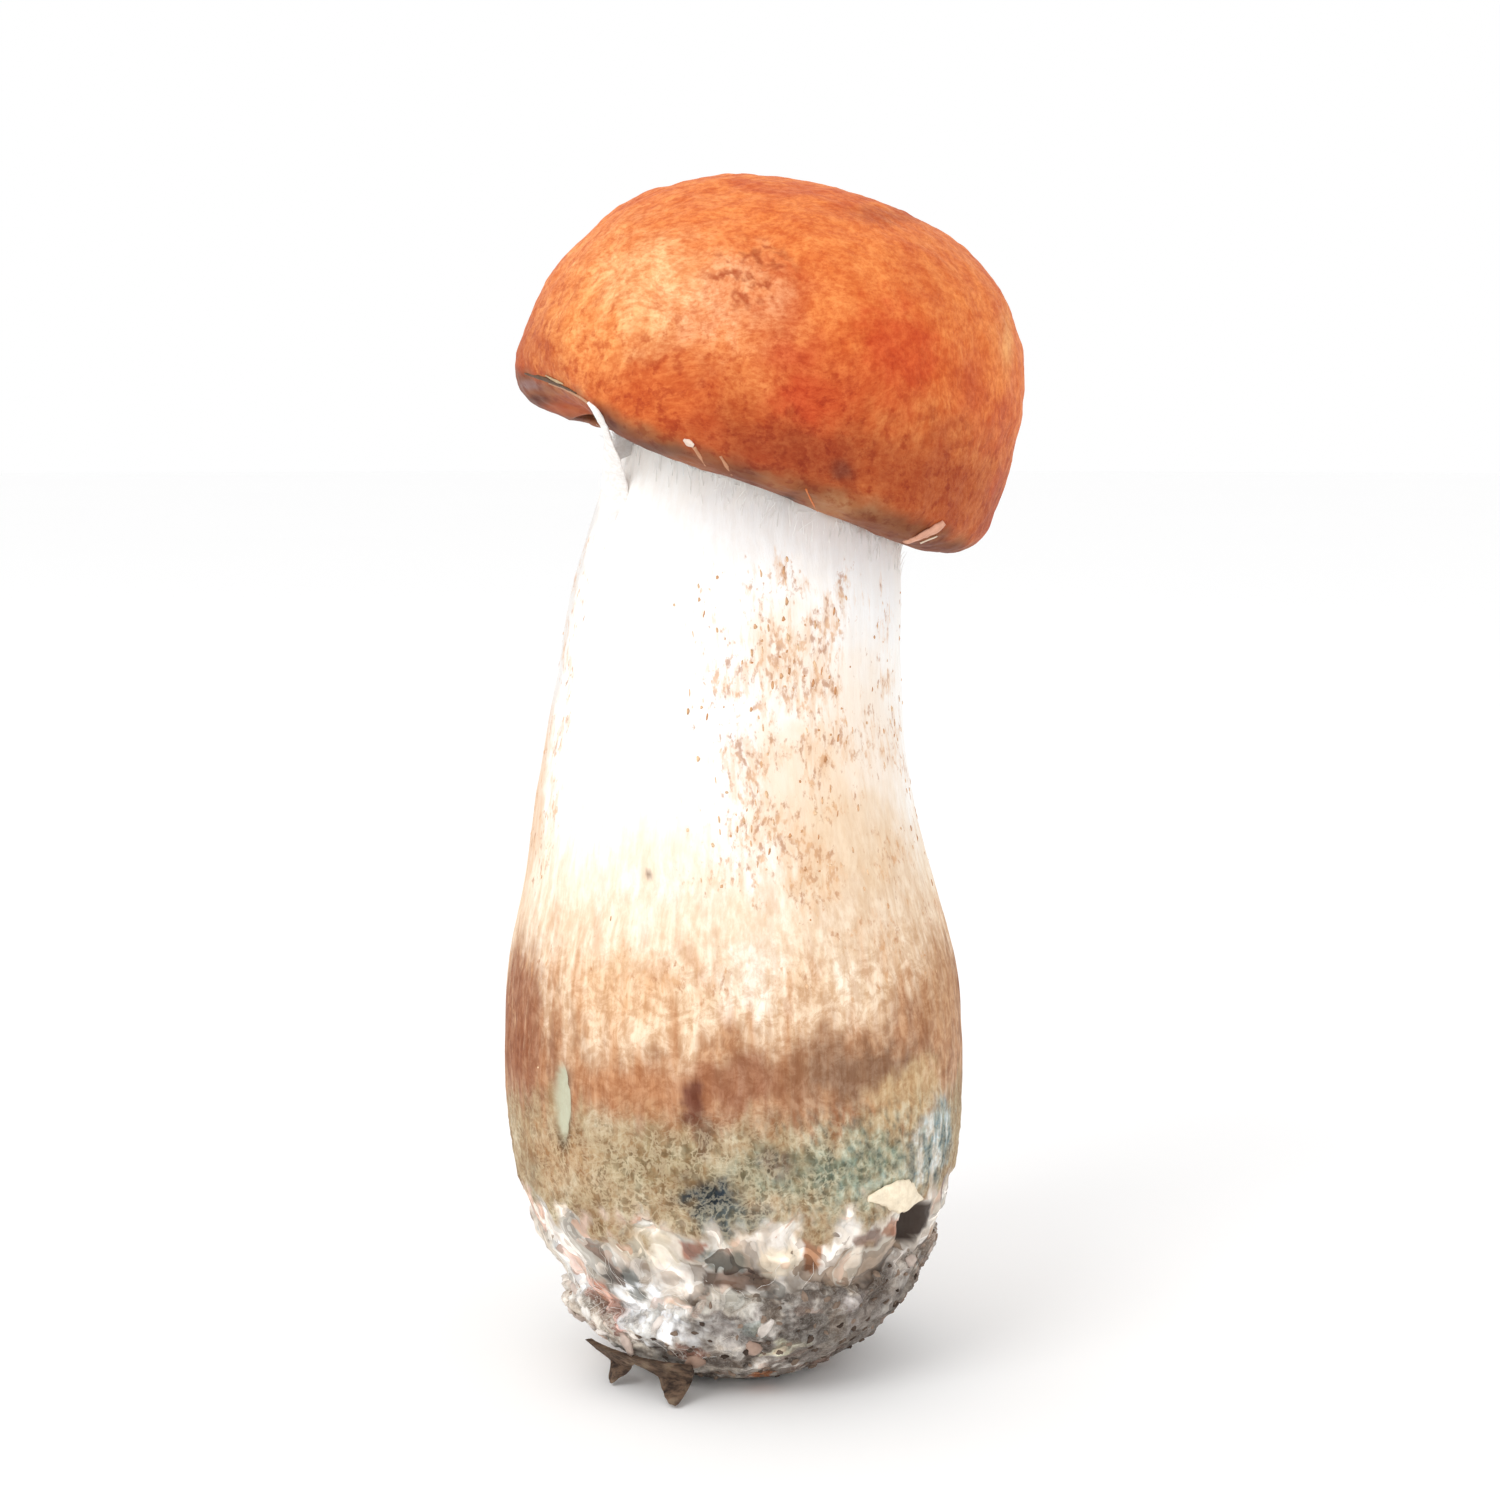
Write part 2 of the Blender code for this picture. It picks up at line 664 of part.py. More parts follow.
def scrap_body(name, collection, grow=0.0):
    """A thin curved flake with two points, from the foot's crust down to the ground."""
    depth_at = curve_through(SCRAP_OUTLINE)
    shape = bmesh.new()
    bmesh.ops.create_grid(shape, x_segments=SCRAP_COLUMNS, y_segments=SCRAP_ROWS, size=0.5)
    for vertex in shape.verts:
        along, down = vertex.co.x + 0.5, 0.5 - vertex.co.y
        angle = SCRAP_ANGLES[0] + (SCRAP_ANGLES[1] - SCRAP_ANGLES[0]) * along
        deep = min(1.0, max(0.2, depth_at(along))) * down
        height = SCRAP_TOP + (SCRAP_LOWEST - SCRAP_TOP) * deep
        crust = crust_radius(height) + SOIL_ROUGHNESS
        flare = SCRAP_FLARE * deep * deep * (SCRAP_FLARE_START + along)
        radius = max(crust, crust_radius(SCRAP_UPRIGHT_BELOW)) + SCRAP_GAP + flare
        vertex.co = (radius * math.cos(angle), radius * math.sin(angle), height)
    mesh = bpy.data.meshes.new(name)
    shape.to_mesh(mesh)
    shape.free()
    scrap = add_object(name, mesh, collection)
    wall = scrap.modifiers.new("wall", "SOLIDIFY")
    wall.thickness = SCRAP_THICKNESS + 2 * grow
    wall.offset = 0
    return applied(scrap)


def make_bark_scrap(parts):
    scrap = scrap_body("bark_scrap", parts)
    return finish(scrap, material("bark", (0.17, 0.12, 0.09), 0.85))


def main():
    for obj in list(bpy.data.objects):
        bpy.data.objects.remove(obj)
    draw = random.Random(SEED)
    parts = new_collection("bolete", shown=True)
    cutters = new_collection("cutters", shown=False)
    repeats = new_collection("repeats", shown=False)
    stem_cutter = stem_body("stem_clearance", cutters, grow=CLEARANCE)
    make_stem(parts, cutters, repeats, draw)
    make_cap(parts, stem_cutter)
    make_tube_layer(parts, stem_cutter)
    make_soil(parts, cutters, repeats, stem_cutter, draw)
    make_bark_scrap(parts)
    for cutter in cutters.objects:
        cutter.hide_render = True
        cutter.display_type = "WIRE"


main()
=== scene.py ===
"""The looks of the picked young orange-capped bolete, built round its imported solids.

Metres, +Z up, in the frame of the solids: the bolete stands on z = 0 at the origin, the cap
leans towards +X, and the side that the picture shows faces -Y. Each skin follows the same
formulas as the solid that it stands for, with finer relief.
"""

import math
import random
from collections import namedtuple

import bmesh
import bpy
import numpy as np
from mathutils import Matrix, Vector, noise
from mathutils.bvhtree import BVHTree


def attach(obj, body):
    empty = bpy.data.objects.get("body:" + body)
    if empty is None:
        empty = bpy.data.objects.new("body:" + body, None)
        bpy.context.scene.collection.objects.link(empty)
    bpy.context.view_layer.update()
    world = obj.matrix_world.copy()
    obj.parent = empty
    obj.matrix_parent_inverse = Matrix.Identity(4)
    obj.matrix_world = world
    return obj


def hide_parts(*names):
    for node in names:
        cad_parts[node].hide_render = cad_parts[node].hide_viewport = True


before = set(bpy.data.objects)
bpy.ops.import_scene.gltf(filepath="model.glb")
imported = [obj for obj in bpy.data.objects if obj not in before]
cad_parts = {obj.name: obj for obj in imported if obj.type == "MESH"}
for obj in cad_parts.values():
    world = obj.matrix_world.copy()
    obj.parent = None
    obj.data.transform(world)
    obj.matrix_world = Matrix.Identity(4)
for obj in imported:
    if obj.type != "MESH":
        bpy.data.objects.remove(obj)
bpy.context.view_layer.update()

MM = 0.001
TURN = 2 * math.pi

# Camera and its picture
CAMERA_PLACE = Vector((1.8, -297.66, 105.0)) * MM
CAMERA_TARGET = Vector((1.8, 0.0, 67.6)) * MM
CAMERA_LENS = 66.36
SENSOR_WIDTH = 36.0

# One large softbox at the upper left
KEY_PLACE = (-0.45, -0.6, 0.65)
KEY_AIM = (0, 0, 0.07)
KEY_WIDTH = 0.5
KEY_POWER = 2.6
FLOOR_RADIUS = 4.0

# Stem
STEM_FOOT = 2.6 * MM
STEM_TOP = 108.0 * MM
BULGE_HEIGHT = 35.4 * MM
BULGE_RADIUS = 24.9 * MM
FOOT_SQUARENESS = 2.6
STEM_CROWN = 3.5 * MM
STEM_RADII = (
    (BULGE_HEIGHT, BULGE_RADIUS),
    (44.5 * MM, 24.2 * MM),
    (57.0 * MM, 21.4 * MM),
    (70.0 * MM, 19.1 * MM),
    (85.0 * MM, 17.4 * MM),
    (93.0 * MM, 16.2 * MM),
    (100.0 * MM, 15.8 * MM),
    (STEM_TOP, 15.4 * MM),
)
STEM_LEAN = (
    (0.0, 0.0),
    (35.0 * MM, 0.2 * MM),
    (60.0 * MM, -0.75 * MM),
    (74.0 * MM, -0.4 * MM),
    (86.0 * MM, 0.9 * MM),
    (98.5 * MM, 3.0 * MM),
    (STEM_TOP, 6.0 * MM),
)
STEM_LOBES = ((2, 0.012, 0.6), (3, 0.010, 2.1), (5, 0.006, 4.0))
LUMP_SIZE = 5.5 * MM
LUMP_HEIGHT = 0.9 * MM
LUMPS_END = 21.0 * MM
STEM_COLUMNS = 410
STEM_ROWS = 234

# Slug bites: a hollow low on the right and a long graze on the left, as (angle, height, radii)
BITES = (
    (math.radians(-37), 19.0 * MM, (2.8 * MM, 2.6 * MM, 3.0 * MM)),
    (math.radians(-137), 33.0 * MM, (0.8 * MM, 1.3 * MM, 4.4 * MM)),
)

# Sides of the stem's painted zones, as (degrees round it, spread in degrees)
FLECKED_SIDE = (-69, 35)
LEFT_FLECKS_SIDE = (-162, 20)
NETTED_SIDE = (-108, 40)
BLUE_WHITE_SIDE = (-34, 11)
SMOOTH_SIDE = (-165, 34)
MARBLED_MIDDLE = math.radians(-55)
MARBLED_REACH = 14 * MM

# Where the foot's lumps and crust begin, and how much higher that is on the right
FOOT_EDGE = 20.9 * MM
FOOT_EDGE_RISE = 1.2 * MM
FOOT_EDGE_TURN = 0.3
FOOT_EDGE_WIDTH = 1.4 * MM

# How far round the painted shade on the hollow's inner wall lies from its middle
HOLLOW_SHADE_TURN = math.radians(4.5)

# Veil shreds: thin webs of white tissue from the stem to the cap's margin
STRAP_WEB = -146
SHRED_ANGLES = (-24, STRAP_WEB, 62, 128)
WEB_COLOUR = (252, 250, 248)
# The web by the strap is painted greyer, as shade under the fold.
STRAP_WEB_SHADED_COLOUR = (226, 222, 220)
SHRED_STEM_END = (14.2 * MM, -0.6 * MM)
SHRED_CAP_END = (17.7 * MM, -1.2 * MM)
SHRED_DROP = 8.0 * MM
SHRED_TIP = 0.9 * MM
STRAP_WEB_DROP = 3.6 * MM
VEIL_FIBRES = 420
MYCELIUM_THREADS = 300
STRAND_SIDES = 5
THREAD_STEP = 0.7 * MM

# Cap
CAP_MIDDLE = Vector((1.4 * MM, 0.0, 98.6 * MM))
CAP_TILT = math.radians(19)
CAP_RADIUS = 27.1 * MM
CAP_WIDEST = 4.6 * MM
CAP_TOP = 30.5 * MM
DOME_SQUARENESS = 2.4
DOME_LEAN_BACK = 0.075
MARGIN_SQUARENESS = 2.9
LIP_RADIUS = 19.8 * MM
LIP_DROP = 2.3 * MM
LIP_ROUNDING = 0.7 * MM
RECESS_RADIUS = 22.9 * MM
RECESS_TOP = 9.6 * MM
WAVE_HEIGHT = 0.45 * MM
WAVES = 3
NOTCH_DEGREES = -148
NOTCH_ANGLE = math.radians(NOTCH_DEGREES)
NOTCH_SPREAD = math.radians(20)
NOTCH_LIFT = 2.9 * MM
WARP_FROM = 15.5 * MM
WARP_TO = 21.5 * MM
WARP_FADE = 15.0 * MM
TUCK_ANGLE = math.radians(-80)
TUCK_SPREAD = math.radians(60)
TUCK = 2.0 * MM
DENTS = (
    (4.5 * MM, 7.0 * MM, 6.5 * MM, 1.6 * MM),
    (-6.0 * MM, -17.0 * MM, 8.0 * MM, 0.5 * MM),
)
PITS_PLACE = np.array((1.8, -23.0, 117.6)) * MM
PITS_SIZE = 4.2 * MM
CAP_COLUMNS = 420
CAP_DOME_ROWS = 130
CAP_MARGIN_ROWS = 56
CAP_INSIDE_ROWS = 20

# Tube layer
TUBES_OUTER = 22.4 * MM
TUBES_INNER = 14.0 * MM
PORE_FACE = 2.4 * MM
PORE_FACE_RISE = 2.2 * MM
PORE_SIZE = 0.8 * MM
PORE_DEPTH = 0.7 * MM
TUBES_COLUMNS = 880
TUBES_FACE_ROWS = 72
TUBES_WALL_ROWS = 10
SEAM_WIDTH = 0.01 * MM

# Crust of soil and mycelium on the foot
SOIL_BOTTOM = -0.8 * MM
SOIL_SQUARENESS = 2.65
SOIL_TOP = 17.5 * MM
SOIL_MEAN_EDGE = 11.0 * MM
SOIL_EDGE_SLOPE = 3.5 * MM
SOIL_ROUGHNESS = 0.9 * MM
SOIL_GRAIN = 3.4 * MM
SOIL_EDGE_RAGGED = 2.5 * MM
SOIL_THINS_BELOW = 0.6 * MM
SOIL_BURIED_ABOVE = 2.0 * MM
SOIL_BURIED = 2.56 * MM
SOIL_COLUMNS = 400
SOIL_ROWS = 110

# Scrap of dead bark
SCRAP_ANGLES = (math.radians(-150), math.radians(-104))
SCRAP_TOP = 4.6 * MM
SCRAP_LOWEST = 0.35 * MM
SCRAP_THICKNESS = 0.7 * MM
SCRAP_GAP = 0.5 * MM
SCRAP_FLARE = 2.6 * MM
SCRAP_COLUMNS = 72
SCRAP_ROWS = 26
SCRAP_OUTLINE = ((0.0, 0.45), (0.2, 1.0), (0.45, 0.35), (0.62, 0.5), (0.9, 1.0), (1.0, 0.3))

SKIN_INSET = 0.08 * MM
RIBBON_STEPS = 8
LEAST_LENGTH = 1e-12


def linear(red, green, blue):
    """A colour given as it looks on screen, 0 to 255, as light."""
    shares = np.array((red, green, blue), float) / 255
    return np.where(shares <= 0.04045, shares / 12.92, ((shares + 0.055) / 1.055) ** 2.4)


def curve_through(stations):
    """A smooth function through (place, value) stations, straight beyond both ends."""
    places, values = np.array(stations, float).T
    ahead = np.minimum(np.arange(len(places)) + 1, len(places) - 1)
    behind = np.maximum(np.arange(len(places)) - 1, 0)
    slopes = (values[ahead] - values[behind]) / (places[ahead] - places[behind])

    def value_at(place):
        place = np.asarray(place, float)
        i = np.clip(np.searchsorted(places, place, side="right") - 1, 0, len(places) - 2)
        width = places[i + 1] - places[i]
        t = (place - places[i]) / width
        between = (
            values[i] * (1 + 2 * t) * (1 - t) ** 2
            + slopes[i] * width * t * (1 - t) ** 2
            + values[i + 1] * t * t * (3 - 2 * t)
            + slopes[i + 1] * width * t * t * (t - 1)
        )
        below = values[0] + slopes[0] * (place - places[0])
        above = values[-1] + slopes[-1] * (place - places[-1])
        return np.where(place <= places[0], below, np.where(place >= places[-1], above, between))

    return value_at


def smooth_step(start, end, x):
    """0 before start, 1 after end, and a smooth rise between them."""
    t = np.clip((x - start) / (end - start), 0, 1)
    return t * t * (3 - 2 * t)


def squarish(t, power):
    """The width of a squarish round, as a share, at height t from its widest place."""
    return (1 - np.clip(t, 0, 1) ** power) ** (1 / power)


def angle_between(a, b):
    return (a - b + math.pi) % TURN - math.pi


def bell(distance, size):
    return np.exp(-((distance / size) ** 2))


def near_angle(angle, degrees, spread):
    """1 at a direction, falling to 0 over a spread of degrees to both sides of it."""
    return bell(angle_between(angle, math.radians(degrees)), math.radians(spread))


def pressed(points, share):
    """Points pressed together along Z, so that relief worked out on them runs lengthwise."""
    return points / np.array((1, 1, share))


def rough(points, size, shift=0.0, octaves=1):
    """Smooth random heights, about -1 to 1, over points, with lumps of about this size."""
    places = (np.asarray(points).reshape(-1, 3) / size + shift).tolist()
    if octaves == 1:
        heights = [noise.noise(place) for place in places]
    else:
        heights = [noise.fractal(place, 0.8, 2.0, octaves) for place in places]
    return np.array(heights).reshape(np.asarray(points).shape[:-1])


def billows(points, size, shift):
    """Rounded lumps with creases between them, 0 at the creases to about 1."""
    places = (np.asarray(points).reshape(-1, 3) / size + shift).tolist()
    gaps = [noise.voronoi(place)[0] for place in places]
    nearest = np.array([gap[0] for gap in gaps])
    second = np.array([gap[1] for gap in gaps])
    return np.clip(second - nearest, 0, 1).reshape(np.asarray(points).shape[:-1])


radius_above_bulge = curve_through(STEM_RADII)
lean_at = curve_through(STEM_LEAN)


def foot_radius(height, bottom, squareness):
    return BULGE_RADIUS * squarish((BULGE_HEIGHT - height) / (BULGE_HEIGHT - bottom), squareness)


def crust_radius(height):
    return foot_radius(height, SOIL_BOTTOM, SOIL_SQUARENESS)


def stem_radius(height):
    crown = np.maximum(0.0, (height - STEM_TOP + STEM_CROWN) / STEM_CROWN)
    upper = radius_above_bulge(height) * squarish(crown * 0.98, 2)
    return np.where(height <= BULGE_HEIGHT, foot_radius(height, STEM_FOOT, FOOT_SQUARENESS), upper)


def lobed(angle):
    """How far the stem's outline is from round, as a factor."""
    return 1 + sum(size * np.cos(count * angle + turn) for count, size, turn in STEM_LOBES)


def bent(points):
    """Points of the straight stem, moved to where the leaning stem has them."""
    x, y, z = np.moveaxis(points, -1, 0)
    step = 0.5 * MM
    slope = np.arctan((lean_at(z + step) - lean_at(z - step)) / (2 * step))
    return np.stack((lean_at(z) + x * np.cos(slope), y, z - x * np.sin(slope)), axis=-1)


def foot_lumps(points):
    fade = 1 - smooth_step(0.4 * LUMPS_END, LUMPS_END, points[..., 2])
    return LUMP_HEIGHT * fade * rough(points, LUMP_SIZE)


def stem_surface(angle, height, proud=0.0):
    """Points of the stem's skin, proud of it by the given distance."""
    angle, height = np.broadcast_arrays(np.asarray(angle, float), np.asarray(height, float))
    across = np.stack((np.cos(angle), np.sin(angle), np.zeros_like(angle)), axis=-1)
    radius = stem_radius(height) * lobed(angle)
    straight = across * radius[..., None]
    straight[..., 2] = height
    lift = proud + foot_lumps(straight)
    return bent(straight + across * np.asarray(lift)[..., None])


def margin_lift(angle):
    notch = bell(angle_between(angle, NOTCH_ANGLE), NOTCH_SPREAD)
    return NOTCH_LIFT * notch + WAVE_HEIGHT * np.sin(WAVES * angle)


def warped(points):
    """Points in the cap's own frame, moved by the margin's waves and the dome's dents."""
    x, y, z = np.moveaxis(np.asarray(points, float), -1, 0)
    radius = np.hypot(x, y)
    angle = np.arctan2(y, x)
    near_margin = smooth_step(WARP_FROM, WARP_TO, radius) * (1 - smooth_step(0, WARP_FADE, z))
    at_lip = (1 - smooth_step(LIP_RADIUS, CAP_RADIUS, radius)) * (1 - smooth_step(0, PORE_FACE, z))
    front = bell(angle_between(angle, TUCK_ANGLE), TUCK_SPREAD)
    drawn_in = np.where(radius > WARP_FROM, 1 - TUCK * front * at_lip / np.maximum(radius, MM), 1)
    on_dome = smooth_step(CAP_WIDEST, CAP_TOP * 0.6, z)
    moved = np.stack((x, y, z + margin_lift(angle) * near_margin), axis=-1) * drawn_in[..., None]
    moved[..., 2] += DOME_LEAN_BACK * x * on_dome
    for across, behind, size, depth in DENTS:
        moved[..., 2] -= depth * on_dome * bell(np.hypot(x - across, y - behind), size)
    return moved


def from_cap(points):
    """Points of the cap's own frame, in the world."""
    x, y, z = np.moveaxis(points, -1, 0)
    cos, sin = math.cos(CAP_TILT), math.sin(CAP_TILT)
    return np.stack((x * cos + z * sin, y, z * cos - x * sin), axis=-1) + np.array(CAP_MIDDLE)


def to_cap(points):
    """Points of the world, in the cap's own frame."""
    x, y, z = np.moveaxis(points - np.array(CAP_MIDDLE), -1, 0)
    cos, sin = math.cos(CAP_TILT), math.sin(CAP_TILT)
    return np.stack((x * cos - z * sin, y, x * sin + z * cos), axis=-1)


def dome_profile(turn):
    power = 2 / DOME_SQUARENESS
    rise = np.clip(np.cos(turn), 0, 1) ** power
    return CAP_RADIUS * np.sin(turn) ** power, CAP_WIDEST + (CAP_TOP - CAP_WIDEST) * rise


def margin_profile(turn):
    power = 2 / MARGIN_SQUARENESS
    reach = np.clip(np.cos(turn), 0, 1) ** power
    drop = (CAP_WIDEST + LIP_DROP) * np.sin(turn) ** power
    return LIP_RADIUS + (CAP_RADIUS - LIP_RADIUS) * reach, CAP_WIDEST - drop


def lip_point(angle):
    """The point of the cap's lip in a direction, in the world."""
    radius, height = margin_profile(math.pi / 2)
    flat = np.array((radius * np.cos(angle), radius * np.sin(angle), height))
    return from_cap(warped(flat))


def grid_normals(grid):
    """Unit normals of a grid of points whose rows run down and whose columns close round."""
    down = np.gradient(grid, axis=0)
    round_it = np.roll(grid, -1, axis=1) - np.roll(grid, 1, axis=1)
    normals = np.cross(down, round_it)
    return normals / np.maximum(np.linalg.norm(normals, axis=-1, keepdims=True), LEAST_LENGTH)


def skin(name, grid, top=None, bottom=None):
    """An object whose faces join a grid of points, closed by a point at the top and bottom."""
    rows, columns = grid.shape[:2]
    points = grid.reshape(-1, 3).tolist()
    faces = []
    for row in range(rows - 1):
        here, below = row * columns, (row + 1) * columns
        for column in range(columns):
            beside = (column + 1) % columns
            faces.append((here + column, below + column, below + beside, here + beside))
    if top is not None:
        points.append(tuple(top))
        pole = len(points) - 1
        faces += [(pole, column, (column + 1) % columns) for column in range(columns)]
    if bottom is not None:
        points.append(tuple(bottom))
        pole, last = len(points) - 1, (rows - 1) * columns
        faces += [(pole, last + (column + 1) % columns, last + column) for column in range(columns)]
    mesh = bpy.data.meshes.new(name)
    mesh.from_pydata(points, [], faces)
    mesh.shade_smooth()
    return linked(name, mesh)


def linked(name, mesh):
    made = bpy.data.objects.new(name, mesh)
    bpy.context.scene.collection.objects.link(made)
    return made


def paint(obj, name, values):
    """Stores a colour for each grid point of a skin; its closing points take their row's mean."""
    flat = values.reshape(-1, values.shape[-1])
    flat = np.vstack((flat, values[0].mean(axis=0), values[-1].mean(axis=0)))
    if flat.shape[1] == 3:
        flat = np.hstack((flat, np.ones((len(flat), 1))))
    layer = obj.data.attributes.new(name, "FLOAT_COLOR", "POINT")
    layer.data.foreach_set("color", flat.astype(np.float32).ravel())


def all_over(points, colour):
    """One colour at all of some points."""
    return np.zeros_like(points) + linear(*colour)


def blended(tone, other, share):
    """tone, turned towards other by share at each point."""
    share = np.asarray(share)[..., None]
    return tone * (1 - share) + other * share


def mixed(tone, colour, share):
    """tone, turned towards one colour by share at each point."""
    return blended(tone, linear(*colour), np.clip(share, 0, 1))


class Net:
    """A node tree in the making: each method adds a node and gives back its output."""

    def __init__(self, tree):
        self.tree = tree

    def fill(self, socket, value):
        if isinstance(value, bpy.types.NodeSocket):
            self.tree.links.new(value, socket)
        elif value is not None:
            socket.default_value = value

    def add(self, kind, inputs=None, **settings):
        node = self.tree.nodes.new(kind)
        for name, value in settings.items():
            setattr(node, name, value)
        for name, value in (inputs or {}).items():
            self.fill(node.inputs[name], value)
        return node

    def math(self, operation, a, b=None, clamp=False):
        node = self.add("ShaderNodeMath", {0: a, 1: b}, operation=operation, use_clamp=clamp)
        return node.outputs[0]

    def times(self, a, b):
        return self.math("MULTIPLY", a, b)

    def plus(self, a, b):
        return self.math("ADD", a, b)

    def minus(self, a, b):
        return self.math("SUBTRACT", a, b)

    def vector(self, operation, a, b=None):
        return self.add("ShaderNodeVectorMath", {0: a, 1: b}, operation=operation).outputs[0]

    def band(self, value, low, high, at_low=0.0, at_high=1.0):
        inputs = {0: value, 1: low, 2: high, 3: at_low, 4: at_high}
        return self.add("ShaderNodeMapRange", inputs, interpolation_type="SMOOTHSTEP").outputs[0]

    def mix(self, share, a, b, blend="MIX"):
        inputs = {0: share, 6: a, 7: b}
        made = self.add("ShaderNodeMix", inputs, data_type="RGBA", blend_type=blend)
        return made.outputs[2]

    def tinted(self, tone, tint):
        return self.mix(1.0, tone, tint, "MULTIPLY")

    def between(self, value, low, high, a, b):
        """a where value is low, b where it is high, and a smooth change between them."""
        return self.mix(self.band(value, low, high), a, b)

    def noise(self, place, size, detail=2.0, roughness=0.5):
        """Random shades, 0 to 1, with patches of about this size in metres."""
        inputs = {"Vector": place, "Scale": 1 / size, "Detail": detail, "Roughness": roughness}
        return self.add("ShaderNodeTexNoise", inputs).outputs[0]

    def swirled(self, place, size, amount):
        """Places moved about by up to about this amount, in whorls of this size."""
        inputs = {"Vector": place, "Scale": 1 / size, "Detail": 1.0}
        moves = self.add("ShaderNodeTexNoise", inputs).outputs[1]
        centred = self.vector("SUBTRACT", moves, (0.5, 0.5, 0.5))
        scaled = self.vector("MULTIPLY", centred, (2 * amount,) * 3)
        return self.vector("ADD", place, scaled)

    def stretched(self, place, scale):
        return self.add("ShaderNodeMapping", {"Vector": place, "Scale": scale}).outputs[0]

    def stored(self, name, output="Color"):
        return self.add("ShaderNodeAttribute", attribute_name=name).outputs[output]

    def channels(self, colour):
        return self.add("ShaderNodeSeparateColor", {0: colour}).outputs

    def bump(self, height, depth, strength, normal=None):
        inputs = {"Strength": strength, "Distance": depth, "Height": height, "Normal": normal}
        return self.add("ShaderNodeBump", inputs).outputs[0]


def new_finish(name, roughness, specular, sheen=0.0):
    """A material with its net, its shader and its object coordinates."""
    made = bpy.data.materials.new(name)
    made.use_nodes = True
    net = Net(made.node_tree)
    shader = made.node_tree.nodes["Principled BSDF"]
    shader.inputs["Roughness"].default_value = roughness
    shader.inputs["Specular IOR Level"].default_value = specular
    shader.inputs["Sheen Weight"].default_value = sheen
    place = net.add("ShaderNodeTexCoord").outputs["Object"]
    return made, net, shader.inputs, place


def colour(red, green, blue):
    """A colour as a shader's socket takes it."""
    return (*linear(red, green, blue).tolist(), 1.0)


def cap_skin_finish():
    """Dry, felted orange skin: short matted fibres, mottled with darker flecks."""
    made, net, shader, place = new_finish("cap_skin_finish", 0.66, specular=0.2, sheen=0.02)
    tone = net.stored("tone")
    marks = net.channels(net.stored("marks"))
    felted = net.minus(1.0, marks[1])
    around = net.swirled(place, 9 * MM, 1.6 * MM)
    lying = net.noise(net.stretched(around, (0.6, 0.8, 1.3)), 0.5 * MM, 5, 0.7)
    hanging = net.noise(net.stretched(around, (1.4, 0.9, 0.55)), 0.5 * MM, 5, 0.7)
    upright = net.times(hanging, marks[0])
    level = net.times(lying, net.minus(1.0, marks[0]))
    strokes = net.plus(upright, level)
    matted = net.noise(around, 0.8 * MM, 4, 0.7)
    fibres = net.plus(net.times(strokes, 0.55), net.times(matted, 0.45))
    clouds = net.noise(around, 2.6 * MM, 4, 0.65)
    shade = net.between(clouds, 0.34, 0.66, (0.87, 0.68, 0.53, 1), (1.03, 1.08, 1.08, 1))
    mottled = net.tinted(tone, shade)
    felt_shade = net.between(fibres, 0.4, 0.6, (0.82, 0.62, 0.48, 1), (1.04, 1.11, 1.11, 1))
    shaded = net.tinted(mottled, felt_shade)
    felt_tone = net.mix(net.times(felted, 0.9), mottled, shaded)
    specks = net.noise(around, 1.5 * MM, 4, 0.62)
    dark = net.times(net.band(specks, 0.52, 0.64), net.times(marks[2], 0.7))
    speckled = net.tinted(felt_tone, (0.7, 0.4, 0.26, 1))
    net.fill(shader["Base Color"], net.mix(dark, felt_tone, speckled))
    net.fill(shader["Roughness"], net.band(fibres, 0.3, 0.7, 0.72, 0.55))
    fine = net.noise(net.stretched(around, (0.8, 0.8, 1.2)), 0.2 * MM, 3, 0.6)
    coarse = net.bump(net.times(fibres, felted), 0.3 * MM, 0.45)
    net.fill(shader["Normal"], net.bump(net.times(fine, felted), 0.08 * MM, 0.5, coarse))
    return made


